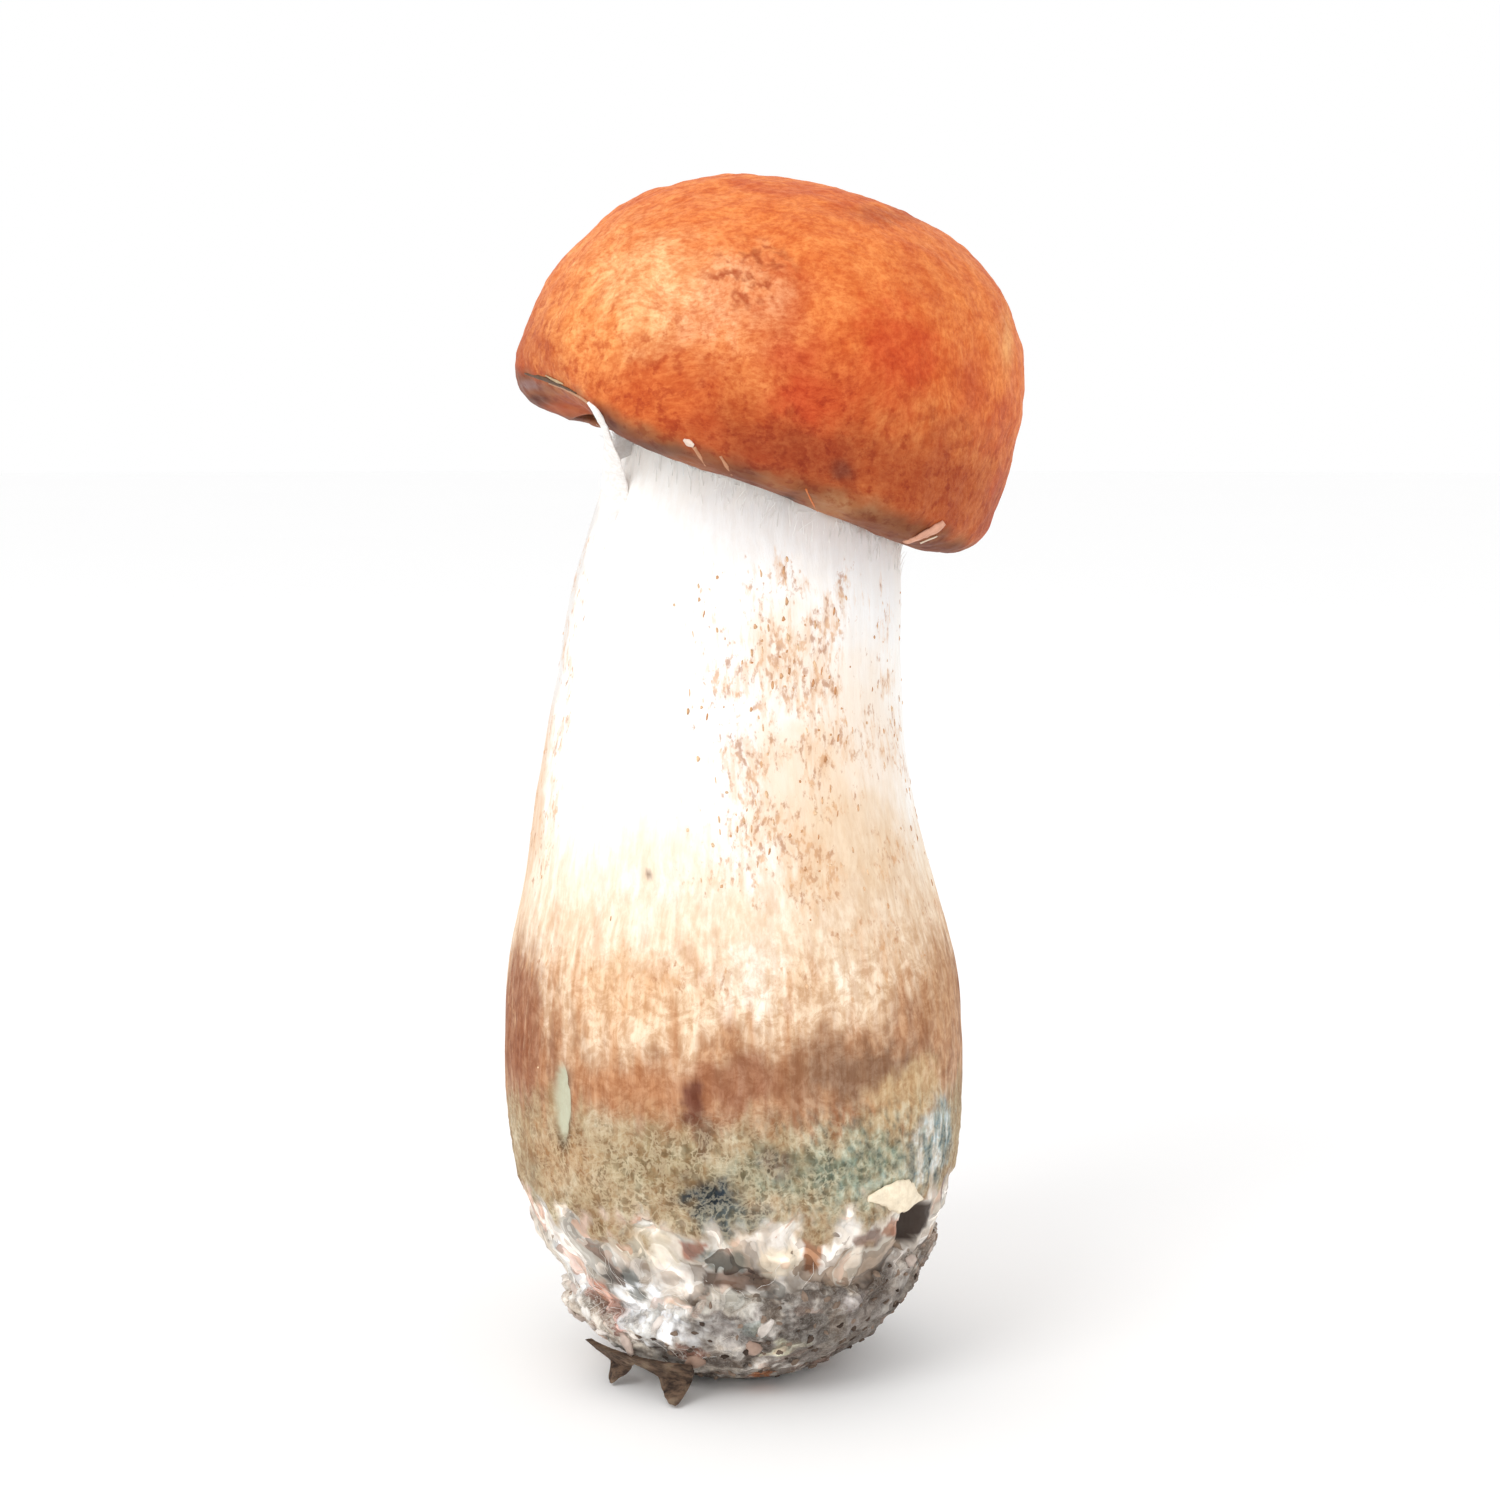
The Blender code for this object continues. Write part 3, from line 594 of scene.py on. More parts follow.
def stem_finish():
    """White fibrous flesh with brown scaber flecks, netted and stained low down."""
    made, net, shader, place = new_finish("stem_flesh_finish", 0.7, specular=0.25)
    tone = net.stored("tone")
    marks = net.channels(net.stored("marks"))
    around = net.swirled(place, 6 * MM, 0.6 * MM)
    fibres = net.noise(net.stretched(around, (1, 1, 0.12)), 0.55 * MM, 5, 0.65)
    wisps = net.noise(net.stretched(around, (1, 1, 0.3)), 1.6 * MM, 4, 0.65)
    both = net.plus(net.times(fibres, 0.55), net.times(wisps, 0.45))
    streak = net.between(both, 0.38, 0.62, (0.86, 0.76, 0.66, 1), (1.05, 1.07, 1.09, 1))
    streaked = net.mix(marks[2], tone, net.tinted(tone, streak))
    mottle = net.noise(net.swirled(place, 3 * MM, 1.2 * MM), 1.2 * MM, 4, 0.68)
    blotch = net.between(mottle, 0.38, 0.62, (0.8, 0.7, 0.62, 1), (1.06, 1.08, 1.1, 1))
    granular = net.times(marks[2], net.stored("zones", "Fac"))
    speckled = net.mix(granular, streaked, net.tinted(streaked, blotch))
    base = broken_up(net, place, speckled, net.stored("marks", "Alpha"))
    dots = net.noise(net.stretched(around, (1, 1, 0.5)), 0.55 * MM, 3, 0.6)
    dashes = net.noise(net.stretched(around, (1, 1, 0.2)), 0.7 * MM, 4, 0.65)
    clumps = net.noise(place, 3.0 * MM, 3, 0.6)
    wanted = net.plus(marks[0], net.times(net.minus(clumps, 0.5), marks[0]))
    fleck = net.band(dots, net.band(wanted, 0.0, 1.0, 0.72, 0.45), net.band(wanted, 0.0, 1.0, 0.88, 0.63))
    dash = net.band(dashes, net.band(wanted, 0.0, 1.0, 0.68, 0.36), net.band(wanted, 0.0, 1.0, 0.9, 0.62))
    fleck_shade = net.noise(place, 1.8 * MM, 2)
    fleck_tone = net.between(fleck_shade, 0.35, 0.65, colour(176, 118, 80), colour(220, 170, 124))
    dashed = net.mix(net.times(dash, 0.55), base, colour(232, 192, 154))
    flecked = net.mix(net.times(fleck, 0.7), dashed, fleck_tone)
    knots = net.noise(net.swirled(place, 2.4 * MM, 0.9 * MM), 1.1 * MM, 3, 0.6)
    line = net.band(net.math("ABSOLUTE", net.minus(knots, 0.5)), 0.09, 0.01)
    dark = net.band(net.noise(place, 1.7 * MM, 4, 0.65), 0.4, 0.62)
    pits = net.times(net.minus(1.0, line), marks[1])
    shade = net.times(pits, net.times(dark, 0.75))
    shaded = net.tinted(flecked, (0.38, 0.37, 0.31, 1))
    netted = net.mix(shade, flecked, shaded)
    threads = net.times(net.times(line, marks[1]), 0.3)
    net.fill(shader["Base Color"], net.mix(threads, netted, colour(224, 212, 182)))
    dull = net.band(fibres, 0.3, 0.7, 0.78, 0.6)
    gloss = net.times(net.stored("marks", "Alpha"), 0.32)
    net.fill(shader["Roughness"], net.minus(dull, gloss))
    ribs = net.bump(both, 0.25 * MM, 0.5)
    net.fill(shader["Normal"], net.bump(net.times(line, marks[1]), 0.2 * MM, 0.4, ribs))
    return made


# How each kind of bit on the foot differs from the colour round it, from its share of all
BIT_TINTS = (
    (0.0, (1.36, 1.4, 1.46)),
    (0.3, (1.06, 1.04, 1.0)),
    (0.46, (0.62, 0.52, 0.44)),
    (0.56, (1.25, 1.27, 1.3)),
    (0.7, (1.0, 0.72, 0.62)),
    (0.8, (0.8, 0.84, 0.86)),
    (0.91, (0.3, 0.25, 0.22)),
)


def broken_up(net, place, tone, share):
    """tone broken up into bits of two sizes, each lighter, darker or pinker than the rest, with a painted
    highlight in each bit's middle and painted shade at its rim.
    """
    moved = net.swirled(net.swirled(place, 6.0 * MM, 6.0 * MM), 2.0 * MM, 1.6 * MM)
    for size, amount in ((3.8, 0.85), (1.9, 0.5)):
        cells = net.add("ShaderNodeTexVoronoi", {"Vector": moved, "Scale": 1 / (size * MM)}, feature="F1")
        key = net.channels(cells.outputs["Color"])[0]
        ramp = net.add("ShaderNodeValToRGB", {0: key})
        ramp.color_ramp.interpolation = "CONSTANT"
        stops = ramp.color_ramp.elements
        for i, (start, tint) in enumerate(BIT_TINTS):
            stop = stops[i] if i < 2 else stops.new(start)
            stop.position = start
            stop.color = (*tint, 1.0)
        kind = net.tinted(tone, ramp.outputs[0])
        # Painted light: each bit is lighter in its middle and shaded towards its rim.
        bit_shading = net.band(cells.outputs["Distance"], 0.8, 0.1, 0.66, 1.12)
        lit = net.add("ShaderNodeVectorMath", {0: kind}, operation="SCALE")
        net.fill(lit.inputs["Scale"], bit_shading)
        tone = net.mix(net.times(share, amount), tone, lit.outputs[0])
    return tone


def crust_finish():
    """Mycelium and wet flesh over dark soil, with pinkish and brown bits."""
    made, net, shader, place = new_finish("crust_finish", 0.75, specular=0.3)
    tone = net.stored("tone")
    marks = net.channels(net.stored("marks"))
    around = net.swirled(place, 2.4 * MM, 1.0 * MM)
    blotches = net.noise(net.stretched(around, (1, 1, 0.7)), 1.3 * MM, 5, 0.62)
    shade = net.between(blotches, 0.34, 0.66, (0.52, 0.48, 0.46, 1), (1.2, 1.22, 1.24, 1))
    mottled = broken_up(net, place, net.mix(0.6, tone, shade, "MULTIPLY"), 0.8)
    matted = net.noise(net.swirled(place, 1.2 * MM, 0.8 * MM), 0.7 * MM, 3, 0.6)
    thread = net.band(net.math("ABSOLUTE", net.minus(matted, 0.5)), 0.05, 0.005)
    pale = net.times(thread, net.band(marks[0], 0.0, 1.0, 0.5, 0.12))
    threaded = net.mix(pale, mottled, colour(240, 234, 224))
    grains = net.noise(place, 0.35 * MM, 3, 0.7)
    speck = net.times(net.band(grains, 0.58, 0.7), net.band(marks[0], 0.0, 1.0, 0.1, 0.4))
    net.fill(shader["Base Color"], net.mix(speck, threaded, colour(58, 46, 40)))
    wet = net.times(marks[1], net.band(blotches, 0.4, 0.7))
    net.fill(shader["Roughness"], net.band(wet, 0.0, 1.0, 0.82, 0.34))
    lumps = net.bump(blotches, 0.7 * MM, 0.6)
    net.fill(shader["Normal"], net.bump(grains, 0.12 * MM, 0.35, lumps))
    return made


def tissue_finish():
    """Thin white veil tissue with fine fibres."""
    made, net, shader, place = new_finish("tissue_finish", 0.6, specular=0.3)
    fibres = net.noise(net.swirled(place, 3 * MM, 1.0 * MM), 0.5 * MM, 4, 0.65)
    shade = net.between(fibres, 0.34, 0.66, (0.91, 0.89, 0.87, 1), (1.04, 1.04, 1.04, 1))
    net.fill(shader["Base Color"], net.tinted(net.stored("tone"), shade))
    net.fill(shader["Roughness"], net.band(fibres, 0.3, 0.7, 0.7, 0.5))
    net.fill(shader["Normal"], net.bump(fibres, 0.1 * MM, 0.5))
    return made


def tubes_finish():
    """Off-white to buff tube walls, with painted shade down in the pores."""
    made, net, shader, place = new_finish("tubes_finish", 0.75, specular=0.25)
    clouds = net.noise(place, 5 * MM, 3, 0.6)
    walls = net.between(clouds, 0.35, 0.65, colour(214, 200, 170), colour(238, 230, 210))
    # Painted shade deep in the pores.
    deep = net.band(net.stored("depth", "Fac"), 0.15, 0.8)
    net.fill(shader["Base Color"], net.mix(deep, walls, colour(150, 126, 92)))
    net.fill(shader["Roughness"], net.band(clouds, 0.3, 0.7, 0.8, 0.65))
    net.fill(shader["Normal"], net.bump(net.noise(place, 0.2 * MM, 2), 0.05 * MM, 0.5))
    return made


def bark_finish():
    """Dead bark: long dark fibres, with paler wood where it has split."""
    made, net, shader, place = new_finish("bark_finish", 0.85, specular=0.2)
    grain = net.noise(net.stretched(place, (0.35, 0.9, 1.2)), 0.7 * MM, 5, 0.65)
    bark = net.between(grain, 0.3, 0.7, colour(50, 40, 35), colour(118, 95, 77))
    bits = net.band(net.noise(place, 2.4 * MM, 3), 0.52, 0.66)
    net.fill(shader["Base Color"], net.mix(net.times(bits, 0.35), bark, colour(166, 146, 122)))
    net.fill(shader["Roughness"], net.band(grain, 0.3, 0.7, 0.92, 0.7))
    net.fill(shader["Normal"], net.bump(grain, 0.3 * MM, 0.7))
    return made


def tinted_finish(name, dark, pale, roughness, grain_size):
    """A finish for small repeated pieces, each of its own shade between dark and pale."""
    made, net, shader, place = new_finish(name, roughness, specular=0.25)
    tint = net.stored("tint", "Fac")
    shade = net.mix(tint, colour(*dark), colour(*pale))
    grain = net.noise(place, grain_size, 3, 0.6)
    light = net.between(grain, 0.3, 0.7, (0.8, 0.78, 0.76, 1), (1.12, 1.12, 1.12, 1))
    net.fill(shader["Base Color"], net.tinted(shade, light))
    net.fill(shader["Roughness"], net.band(grain, 0.3, 0.7, roughness + 0.08, roughness - 0.08))
    net.fill(shader["Normal"], net.bump(grain, 0.1 * MM, 0.5))
    return made


Patch = namedtuple("Patch", "name place size colour share")

CAP_PATCHES = (
    Patch("pale left flank", (-14.0, 113.0), (6.0, 8.0), (250, 168, 98), 0.8),
    Patch("pale upper left", (-8.0, 116.6), (6.6, 5.6), (252, 198, 144), 0.85),
    Patch("pale middle", (-0.5, 115.0), (6.0, 4.6), (250, 186, 142), 0.85),
    Patch("rosy upper middle", (4.4, 112.0), (3.0, 4.6), (220, 124, 78), 0.6),
    Patch("orange lower left", (-8.0, 106.0), (8.0, 3.6), (216, 108, 50), 0.8),
    Patch("red by the middle", (7.0, 105.2), (3.0, 2.8), (204, 70, 32), 0.9),
    Patch("red on the right", (16.6, 110.6), (4.8, 4.8), (212, 76, 34), 0.85),
    Patch("red below it", (12.5, 106.4), (7.0, 4.6), (206, 88, 42), 0.65),
    Patch("red left of the middle", (6.0, 109.6), (2.6, 1.8), (206, 84, 44), 0.7),
    Patch("red far right", (24.0, 107.0), (2.0, 4.0), (206, 92, 48), 0.7),
    Patch("brown lower middle", (6.0, 100.0), (9.0, 4.0), (162, 74, 38), 0.85),
    Patch("brown lower right", (20.0, 97.0), (9.0, 6.0), (176, 86, 44), 0.75),
    Patch("bruise", (10.8, 98.2), (1.5, 1.2), (112, 56, 44), 0.75),
    Patch("orange at the right", (21.0, 116.0), (5.0, 6.0), (228, 130, 66), 0.6),
    Patch("pale right rim", (28.2, 111.5), (0.8, 4.0), (240, 172, 110), 0.6),
    Patch("dark hollow", (15.4, 124.0), (4.5, 1.2), (184, 90, 42), 0.65),
)
MARGIN_PATCHES = (
    Patch("tan under the margin", (11.5, 94.9), (4.6, 1.8), (180, 128, 88), 0.8),
    # Painted shade in the hole between the margin and the stem.
    Patch("hole by the stem", (5.4, 95.4), (0.9, 0.4), (50, 38, 32), 0.95),
    Patch("shadow at the left", (-8.0, 100.3), (5.0, 0.9), (100, 64, 50), 0.8),
    Patch("lilac left tip", (-21.2, 106.8), (1.8, 0.6), (142, 112, 110), 0.85),
    Patch("orange left fold", (-17.6, 105.2), (3.0, 0.8), (168, 84, 44), 0.8),
    # The fold's own orange and brown underside, darkened further as painted shade under the fold.
    Patch("brown left edge", (-20.4, 105.0), (2.4, 0.8), (82, 48, 32), 0.85),
    Patch("orange under the fold", (-16.8, 104.4), (3.6, 0.9), (176, 86, 38), 0.9),
    Patch("brown right underside", (17.0, 92.6), (9.0, 1.8), (116, 64, 34), 0.65),
    # Painted shade under the lifted notch.
    Patch("dark under the notch", (-13.4, 102.6), (2.6, 1.2), (96, 60, 44), 0.8),
)

# How far above its plane the margin is bare of felt, in mm, by degrees round the cap
MARGIN_EDGE = curve_through(
    [(-180, 1.5), (-148, 1.6), (-125, 0.9), (-100, 0.3), (-80, 0.6), (-60, 1.0),
     (-40, 0.6), (0, -0.5), (90, -0.5), (150, 0.2), (180, 1.5)]
)


def patched(tone, points, patches, wander):
    """tone with soft patches, each placed as (x, z) on the side that the picture shows."""
    facing = smooth_step(4 * MM, -4 * MM, points[..., 1])
    side_step = rough(points, 4 * MM, 1.7) + 0.7 * rough(points, 1.4 * MM, 21.7, octaves=2)
    up_step = rough(points, 4 * MM, 5.3) + 0.7 * rough(points, 1.4 * MM, 25.3, octaves=2)
    for patch in patches:
        move = wander * min(patch.size)
        across = points[..., 0] / MM - patch.place[0] + move * side_step
        up = points[..., 2] / MM - patch.place[1] + move * up_step
        near = np.exp(-((across / patch.size[0]) ** 2) - (up / patch.size[1]) ** 2)
        near = 0.5 * near + 0.5 * smooth_step(0.15, 0.85, near)
        tone = mixed(tone, patch.colour, patch.share * near * facing)
    return tone


def margin_share(points):
    """1 on the bare rolled-in margin below the felt, 0 above it."""
    own = to_cap(points)
    degrees = np.degrees(np.arctan2(own[..., 1], own[..., 0]))
    edge = (MARGIN_EDGE(degrees) + 0.6 * rough(points, 2.4 * MM, 41.0, octaves=2)) * MM
    return smooth_step(edge + 1.0 * MM, edge - 1.0 * MM, own[..., 2])


def cap_tone(points):
    """The orange of the cap's skin at each point, before its fibres."""
    own = to_cap(points)
    low = 1 - smooth_step(2 * MM, 15 * MM, own[..., 2])
    tone = mixed(all_over(points, (236, 136, 70)), (182, 90, 44), 0.85 * low)
    clouds = rough(points, 11 * MM, 3.1, octaves=2)
    tone = mixed(tone, (242, 154, 88), 0.6 * smooth_step(0.1, 0.5, clouds) * (1 - 0.7 * low))
    red_clouds = smooth_step(0.15, 0.5, rough(points, 8 * MM, 8.7, octaves=2))
    tone = mixed(tone, (204, 86, 42), 0.5 * red_clouds)
    tone = patched(tone, points, CAP_PATCHES, 0.45)
    bare_clouds = smooth_step(-0.4, 0.4, rough(points, 5 * MM, 13.0))
    bare = mixed(all_over(points, (119, 65, 39)), (152, 93, 56), bare_clouds)
    bare = patched(bare, points, MARGIN_PATCHES, 0.3)
    return blended(tone, bare, margin_share(points))


def make_cap(finish):
    """The cap's skin, from the dome's top round the rolled-in margin into the recess."""
    angles = TURN * np.arange(CAP_COLUMNS) / CAP_COLUMNS
    dome_turns = math.pi / 2 * np.linspace(0, 1, CAP_DOME_ROWS + 1)[1:]
    margin_turns = math.pi / 2 * np.linspace(0, 1, CAP_MARGIN_ROWS + 1)[1:]
    dome, margin = dome_profile(dome_turns), margin_profile(margin_turns)
    corners = (
        (LIP_RADIUS, -LIP_DROP),
        (LIP_RADIUS - LIP_ROUNDING, LIP_ROUNDING - LIP_DROP),
        (LIP_RADIUS, 2 * LIP_ROUNDING - LIP_DROP),
        (RECESS_RADIUS - MM, PORE_FACE - 1.6 * MM),
        (RECESS_RADIUS, PORE_FACE),
        (RECESS_RADIUS, RECESS_TOP - 3 * MM),
        (RECESS_RADIUS - 4 * MM, RECESS_TOP),
        (6 * MM, RECESS_TOP),
    )
    radius_at = curve_through([(i, corner[0]) for i, corner in enumerate(corners)])
    height_at = curve_through([(i, corner[1]) for i, corner in enumerate(corners)])
    along = np.linspace(0, len(corners) - 1, CAP_INSIDE_ROWS + 1)[1:]
    radii = np.concatenate((dome[0], margin[0], radius_at(along)))
    heights = np.concatenate((dome[1], margin[1], height_at(along)))
    ring = np.stack((np.cos(angles), np.sin(angles)), axis=-1)
    flat = np.empty((len(radii), CAP_COLUMNS, 3))
    flat[..., :2] = radii[:, None, None] * ring[None]
    flat[..., 2] = heights[:, None]
    grid = from_cap(warped(flat))
    normals = grid_normals(grid)
    outside = np.zeros(len(radii))
    outside[: CAP_DOME_ROWS + CAP_MARGIN_ROWS] = 1
    relief = 0.28 * MM * (rough(grid, 6 * MM, 2.0, octaves=3) - 0.6)
    relief += 0.05 * MM * rough(grid, 1.1 * MM, 6.0, octaves=2)
    pits = bell(np.linalg.norm(grid - PITS_PLACE, axis=-1), PITS_SIZE)
    relief -= 0.25 * MM * pits * smooth_step(0.02, 0.3, rough(grid, 1.0 * MM, 9.0, octaves=2))
    grid = grid + normals * ((relief - SKIN_INSET) * outside[:, None])[..., None]
    recess_middle = from_cap(np.array((0, 0, RECESS_TOP)))
    cap = skin("cap_skin", grid, top=grid[0].mean(axis=0), bottom=recess_middle)
    speckle = smooth_step(0.1, 0.6, pits)
    speckle *= smooth_step(0.02, 0.3, rough(grid, 1.0 * MM, 9.0, octaves=2))
    paint(cap, "tone", mixed(cap_tone(grid), (186, 92, 48), 0.8 * speckle))
    above_lip = to_cap(grid)[..., 2]
    hanging = smooth_step(8 * MM, 24 * MM, grid[..., 0])
    hanging *= 1 - smooth_step(20 * MM, 28 * MM, above_lip)
    specks = smooth_step(22 * MM, 6 * MM, above_lip)
    paint(cap, "marks", np.stack((hanging, margin_share(grid), specks), axis=-1))
    cap.data.materials.append(finish)
    return cap


STEM_PATCHES = (
    # Painted shade: greyer under the cap, at the right of the stem's top and along its left edge.
    Patch("grey under the cap", (-78, 92.5), (16.0, 3.6), (238, 239, 242), 0.4),
    Patch("grey at the right top", (-38, 87.0), (6.0, 8.0), (250, 251, 252), 0.6),
    Patch("grey left edge", (-173, 82.0), (2.6, 16.0), (216, 214, 212), 0.7),
    Patch("peach left edge", (-170, 62.0), (4.0, 10.0), (226, 190, 154), 0.7),
    Patch("cream right side", (-44, 68.0), (8.0, 14.0), (246, 228, 208), 0.7),
    Patch("tan under the upper flecks", (-72, 80.0), (5.0, 5.0), (246, 226, 204), 0.6),
    Patch("tan under the lower flecks", (-66, 66.0), (6.5, 8.0), (242, 214, 182), 0.65),
    Patch("orange tan on the left", (-118, 46.0), (6.0, 4.0), (228, 180, 132), 0.5),
    Patch("rust on the left edge", (-160, 40.5), (8.0, 9.0), (152, 92, 58), 0.8),
    Patch("rust left of the middle", (-112, 35.8), (9.0, 3.0), (192, 134, 92), 0.65),
    Patch("reddish middle", (-88, 36.6), (6.0, 2.8), (154, 100, 72), 0.75),
    Patch("brown right of the middle", (-66, 37.8), (7.0, 3.2), (158, 114, 82), 0.7),
    Patch("dark band on the right", (-58, 37.0), (7.0, 2.4), (134, 106, 86), 0.65),
    Patch("tan at the right edge", (-26, 43.0), (6.0, 6.0), (196, 152, 112), 0.7),
    Patch("pale island", (-84, 47.5), (4.0, 4.6), (255, 248, 236), 0.6),
    Patch("pale streak", (-60, 48.0), (2.0, 6.0), (252, 240, 222), 0.5),
    Patch("dark curl", (-100, 34.6), (1.2, 2.2), (104, 54, 42), 0.85),
    Patch("dark curl's tail", (-98, 31.0), (0.9, 2.0), (116, 78, 58), 0.7),
    Patch("dark dot", (-112, 57.5), (0.3, 0.3), (110, 72, 56), 0.7),
    Patch("peach right side", (-44, 53.0), (10.0, 8.0), (234, 209, 181), 0.75),
    Patch("tan streaks on the right", (-52, 60.0), (8.0, 6.0), (236, 208, 174), 0.6),
    Patch("buff pale right", (-45, 33.5), (6.0, 3.2), (210, 184, 142), 0.75),
    Patch("olive speckled", (-108, 27.5), (6.0, 3.0), (150, 132, 94), 0.5),
    Patch("tan on the left", (-140, 27.0), (6.0, 4.0), (190, 150, 106), 0.6),
    Patch("teal smear", (-74, 27.0), (8.0, 3.0), (138, 146, 124), 0.75),
    Patch("teal swirl", (-58, 26.4), (5.0, 3.6), (144, 160, 142), 0.85),
    Patch("blue white", (-33, 27.6), (4.5, 3.6), (150, 182, 194), 0.9),
    Patch("blue trails", (-93, 22.0), (3.6, 3.0), (112, 126, 124), 0.8),
    Patch("dark blue spot", (-96, 24.4), (3.0, 2.4), (34, 48, 62), 1.0),
    Patch("dark trail down", (-93.5, 21.0), (1.2, 2.2), (66, 80, 88), 0.8),
    Patch("dark trail to the right", (-86, 23.2), (2.4, 0.7), (78, 88, 92), 0.7),
    Patch("brown smudge", (-80, 28.0), (2.0, 1.7), (116, 88, 76), 0.7),
    Patch("pale middle bit", (-82, 23.6), (1.8, 1.2), (206, 186, 160), 0.7),
    Patch("teal band over the tongue", (-50, 24.6), (4.6, 1.2), (190, 208, 198), 0.8),
    Patch("teal left low", (-156, 19.0), (2.4, 4.0), (150, 152, 136), 0.5),
)

# How high the stained zone reaches, and where the netted zone starts, by degrees round the stem
BAND_TOP = curve_through(
    [(-180, 43), (-160, 43), (-130, 38), (-95, 36.5), (-60, 38.5), (-30, 42.5),
     (20, 41), (90, 44), (150, 40), (180, 44)]
)
NET_TOP = curve_through(
    [(-180, 30), (-120, 33), (-95, 32), (-60, 31.5), (-30, 32), (60, 30), (180, 30)]
)


def by_patches(tone, angle, height, radius, patches, points, edge=(0.1, 0.75)):
    """tone with ragged patches, each placed as (degrees, height in mm) round an upright surface."""
    whorl = [rough(points, 2.6 * MM, shift, octaves=3) for shift in (11.0, 17.0)]
    for patch in patches:
        reach = radius * angle_between(angle, math.radians(patch.place[0]))
        wander = np.minimum(0.7 * np.array(patch.size), 2.2) * MM
        across = (reach + wander[0] * whorl[0]) / patch.size[0] / MM
        up = (height - patch.place[1] * MM + wander[1] * whorl[1]) / patch.size[1] / MM
        near = np.exp(-across * across - up * up)
        tone = mixed(tone, patch.colour, patch.share * smooth_step(*edge, near))
    return tone


def stem_tone(angle, height, points):
    """The stem's colour at each point, with painted shade under the cap and its margin, before its fibres
    and flecks.
    """
    degrees = np.degrees(angle_between(angle, 0))
    z = height / MM
    fibre = pressed(points, 7.0)
    ragged = 4.0 * rough(fibre, 1.3 * MM, 2.0, octaves=3)
    ragged += 3.0 * rough(points, 7 * MM, 4.0, octaves=2)
    tone = all_over(points, (255, 253, 249))
    tone = mixed(tone, (250, 234, 212), smooth_step(66, 52, z + ragged))
    tone = mixed(tone, (240, 212, 180), 0.8 * smooth_step(56, 42, z + ragged))
    rusty = smooth_step(0.0, 0.5, rough(fibre, 1.3 * MM, 7.0, octaves=3))
    tone = mixed(tone, (206, 148, 100), 0.65 * rusty * smooth_step(60, 44, z))
    band = smooth_step(7.0, -3.5, z + ragged - BAND_TOP(degrees))
    tone = mixed(tone, (184, 134, 96), 0.7 * band)
    brown_spots = smooth_step(0.05, 0.4, rough(points, 2.0 * MM, 93.0, octaves=3))
    tone = mixed(tone, (124, 84, 60), 0.45 * band * brown_spots)
    rust_streaks = smooth_step(0.0, 0.5, rough(fibre, 1.4 * MM, 27.0, octaves=3))
    tone = mixed(tone, (150, 98, 66), 0.6 * band * rust_streaks)
    below = smooth_step(2.0, -2.0, z + 0.7 * ragged - NET_TOP(degrees))
    tone = mixed(tone, (184, 166, 132), 0.85 * below)
    wide = rough(points, 4.5 * MM, 91.0, octaves=2)
    tone = mixed(tone, (152, 122, 86), 0.55 * below * smooth_step(0.05, 0.45, wide))
    tone = mixed(tone, (214, 202, 176), 0.5 * below * smooth_step(-0.05, -0.45, wide))
    tone = by_patches(tone, angle, height, stem_radius(height), STEM_PATCHES, points)
    tone = marbled(tone, angle, height, points)
    return shadow_under_margin(tone, points)


def shadow_under_margin(tone, points):
    """tone with painted brown shade where the margin hangs over the front of the stem, darkest at the
    left.
    """
    x, y, z = np.moveaxis(points / MM, -1, 0)
    feathered = 0.6 * rough(pressed(points, 2.0), 1.6 * MM, 63.0, octaves=2)
    feathered += rough(points, 3 * MM, 64.0)
    depth = z - (97.0 - 0.42 * (x - 1.5)) + feathered
    front = smooth_step(2, -6, y)
    # Painted shade under the margin: dark brown at the left, tan to the right.
    brown = mixed(all_over(points, (104, 72, 56)), (186, 138, 102), smooth_step(-7, -1, x))
    return blended(tone, brown, 0.85 * smooth_step(-0.6, 1.4, depth) * front)


def marbled(tone, angle, height, points):
    """tone with the fine swirls of blue-green and cream that cover the right of the netted zone."""
    reach = stem_radius(height) * angle_between(angle, MARBLED_MIDDLE) / MARBLED_REACH
    zone = np.exp(-reach ** 2) * smooth_step(35 * MM, 31 * MM, height)
    zone *= smooth_step(19 * MM, 22 * MM, height)
    swirls = 5.0 * rough(points, 7 * MM, 43.0, octaves=2)
    swirls += 0.8 * rough(points, 1.6 * MM, 47.0, octaves=2)
    wave = np.sin(TURN * swirls)
    tone = mixed(tone, (222, 220, 196), 0.6 * zone * smooth_step(0.35, 0.9, wave))
    tone = mixed(tone, (86, 102, 96), 0.65 * zone * smooth_step(-0.4, -0.95, wave))
    beside = near_angle(angle, *BLUE_WHITE_SIDE) * bell(height - 27 * MM, 4.4 * MM)
    beside = smooth_step(0.25, 0.6, beside)
    upright = rough(pressed(points, 4.0), 1.0 * MM, 57.0, octaves=2)
    tone = mixed(tone, (236, 242, 242), 0.9 * beside * smooth_step(0.05, 0.3, upright))
    return mixed(tone, (78, 98, 104), 0.8 * beside * smooth_step(-0.05, -0.3, upright))


def foot_share(angle, height, points):
    """1 on the foot, below the stained zone, and 0 above it."""
    ragged = 2.6 * MM * rough(pressed(points, 1.4), 2.2 * MM, 33.0, octaves=3)
    ragged += 2.6 * MM * rough(points, 5 * MM, 37.0, octaves=2)
    edge = FOOT_EDGE + FOOT_EDGE_RISE * np.cos(angle - FOOT_EDGE_TURN)
    return smooth_step(edge + FOOT_EDGE_WIDTH, edge - FOOT_EDGE_WIDTH, height + ragged)


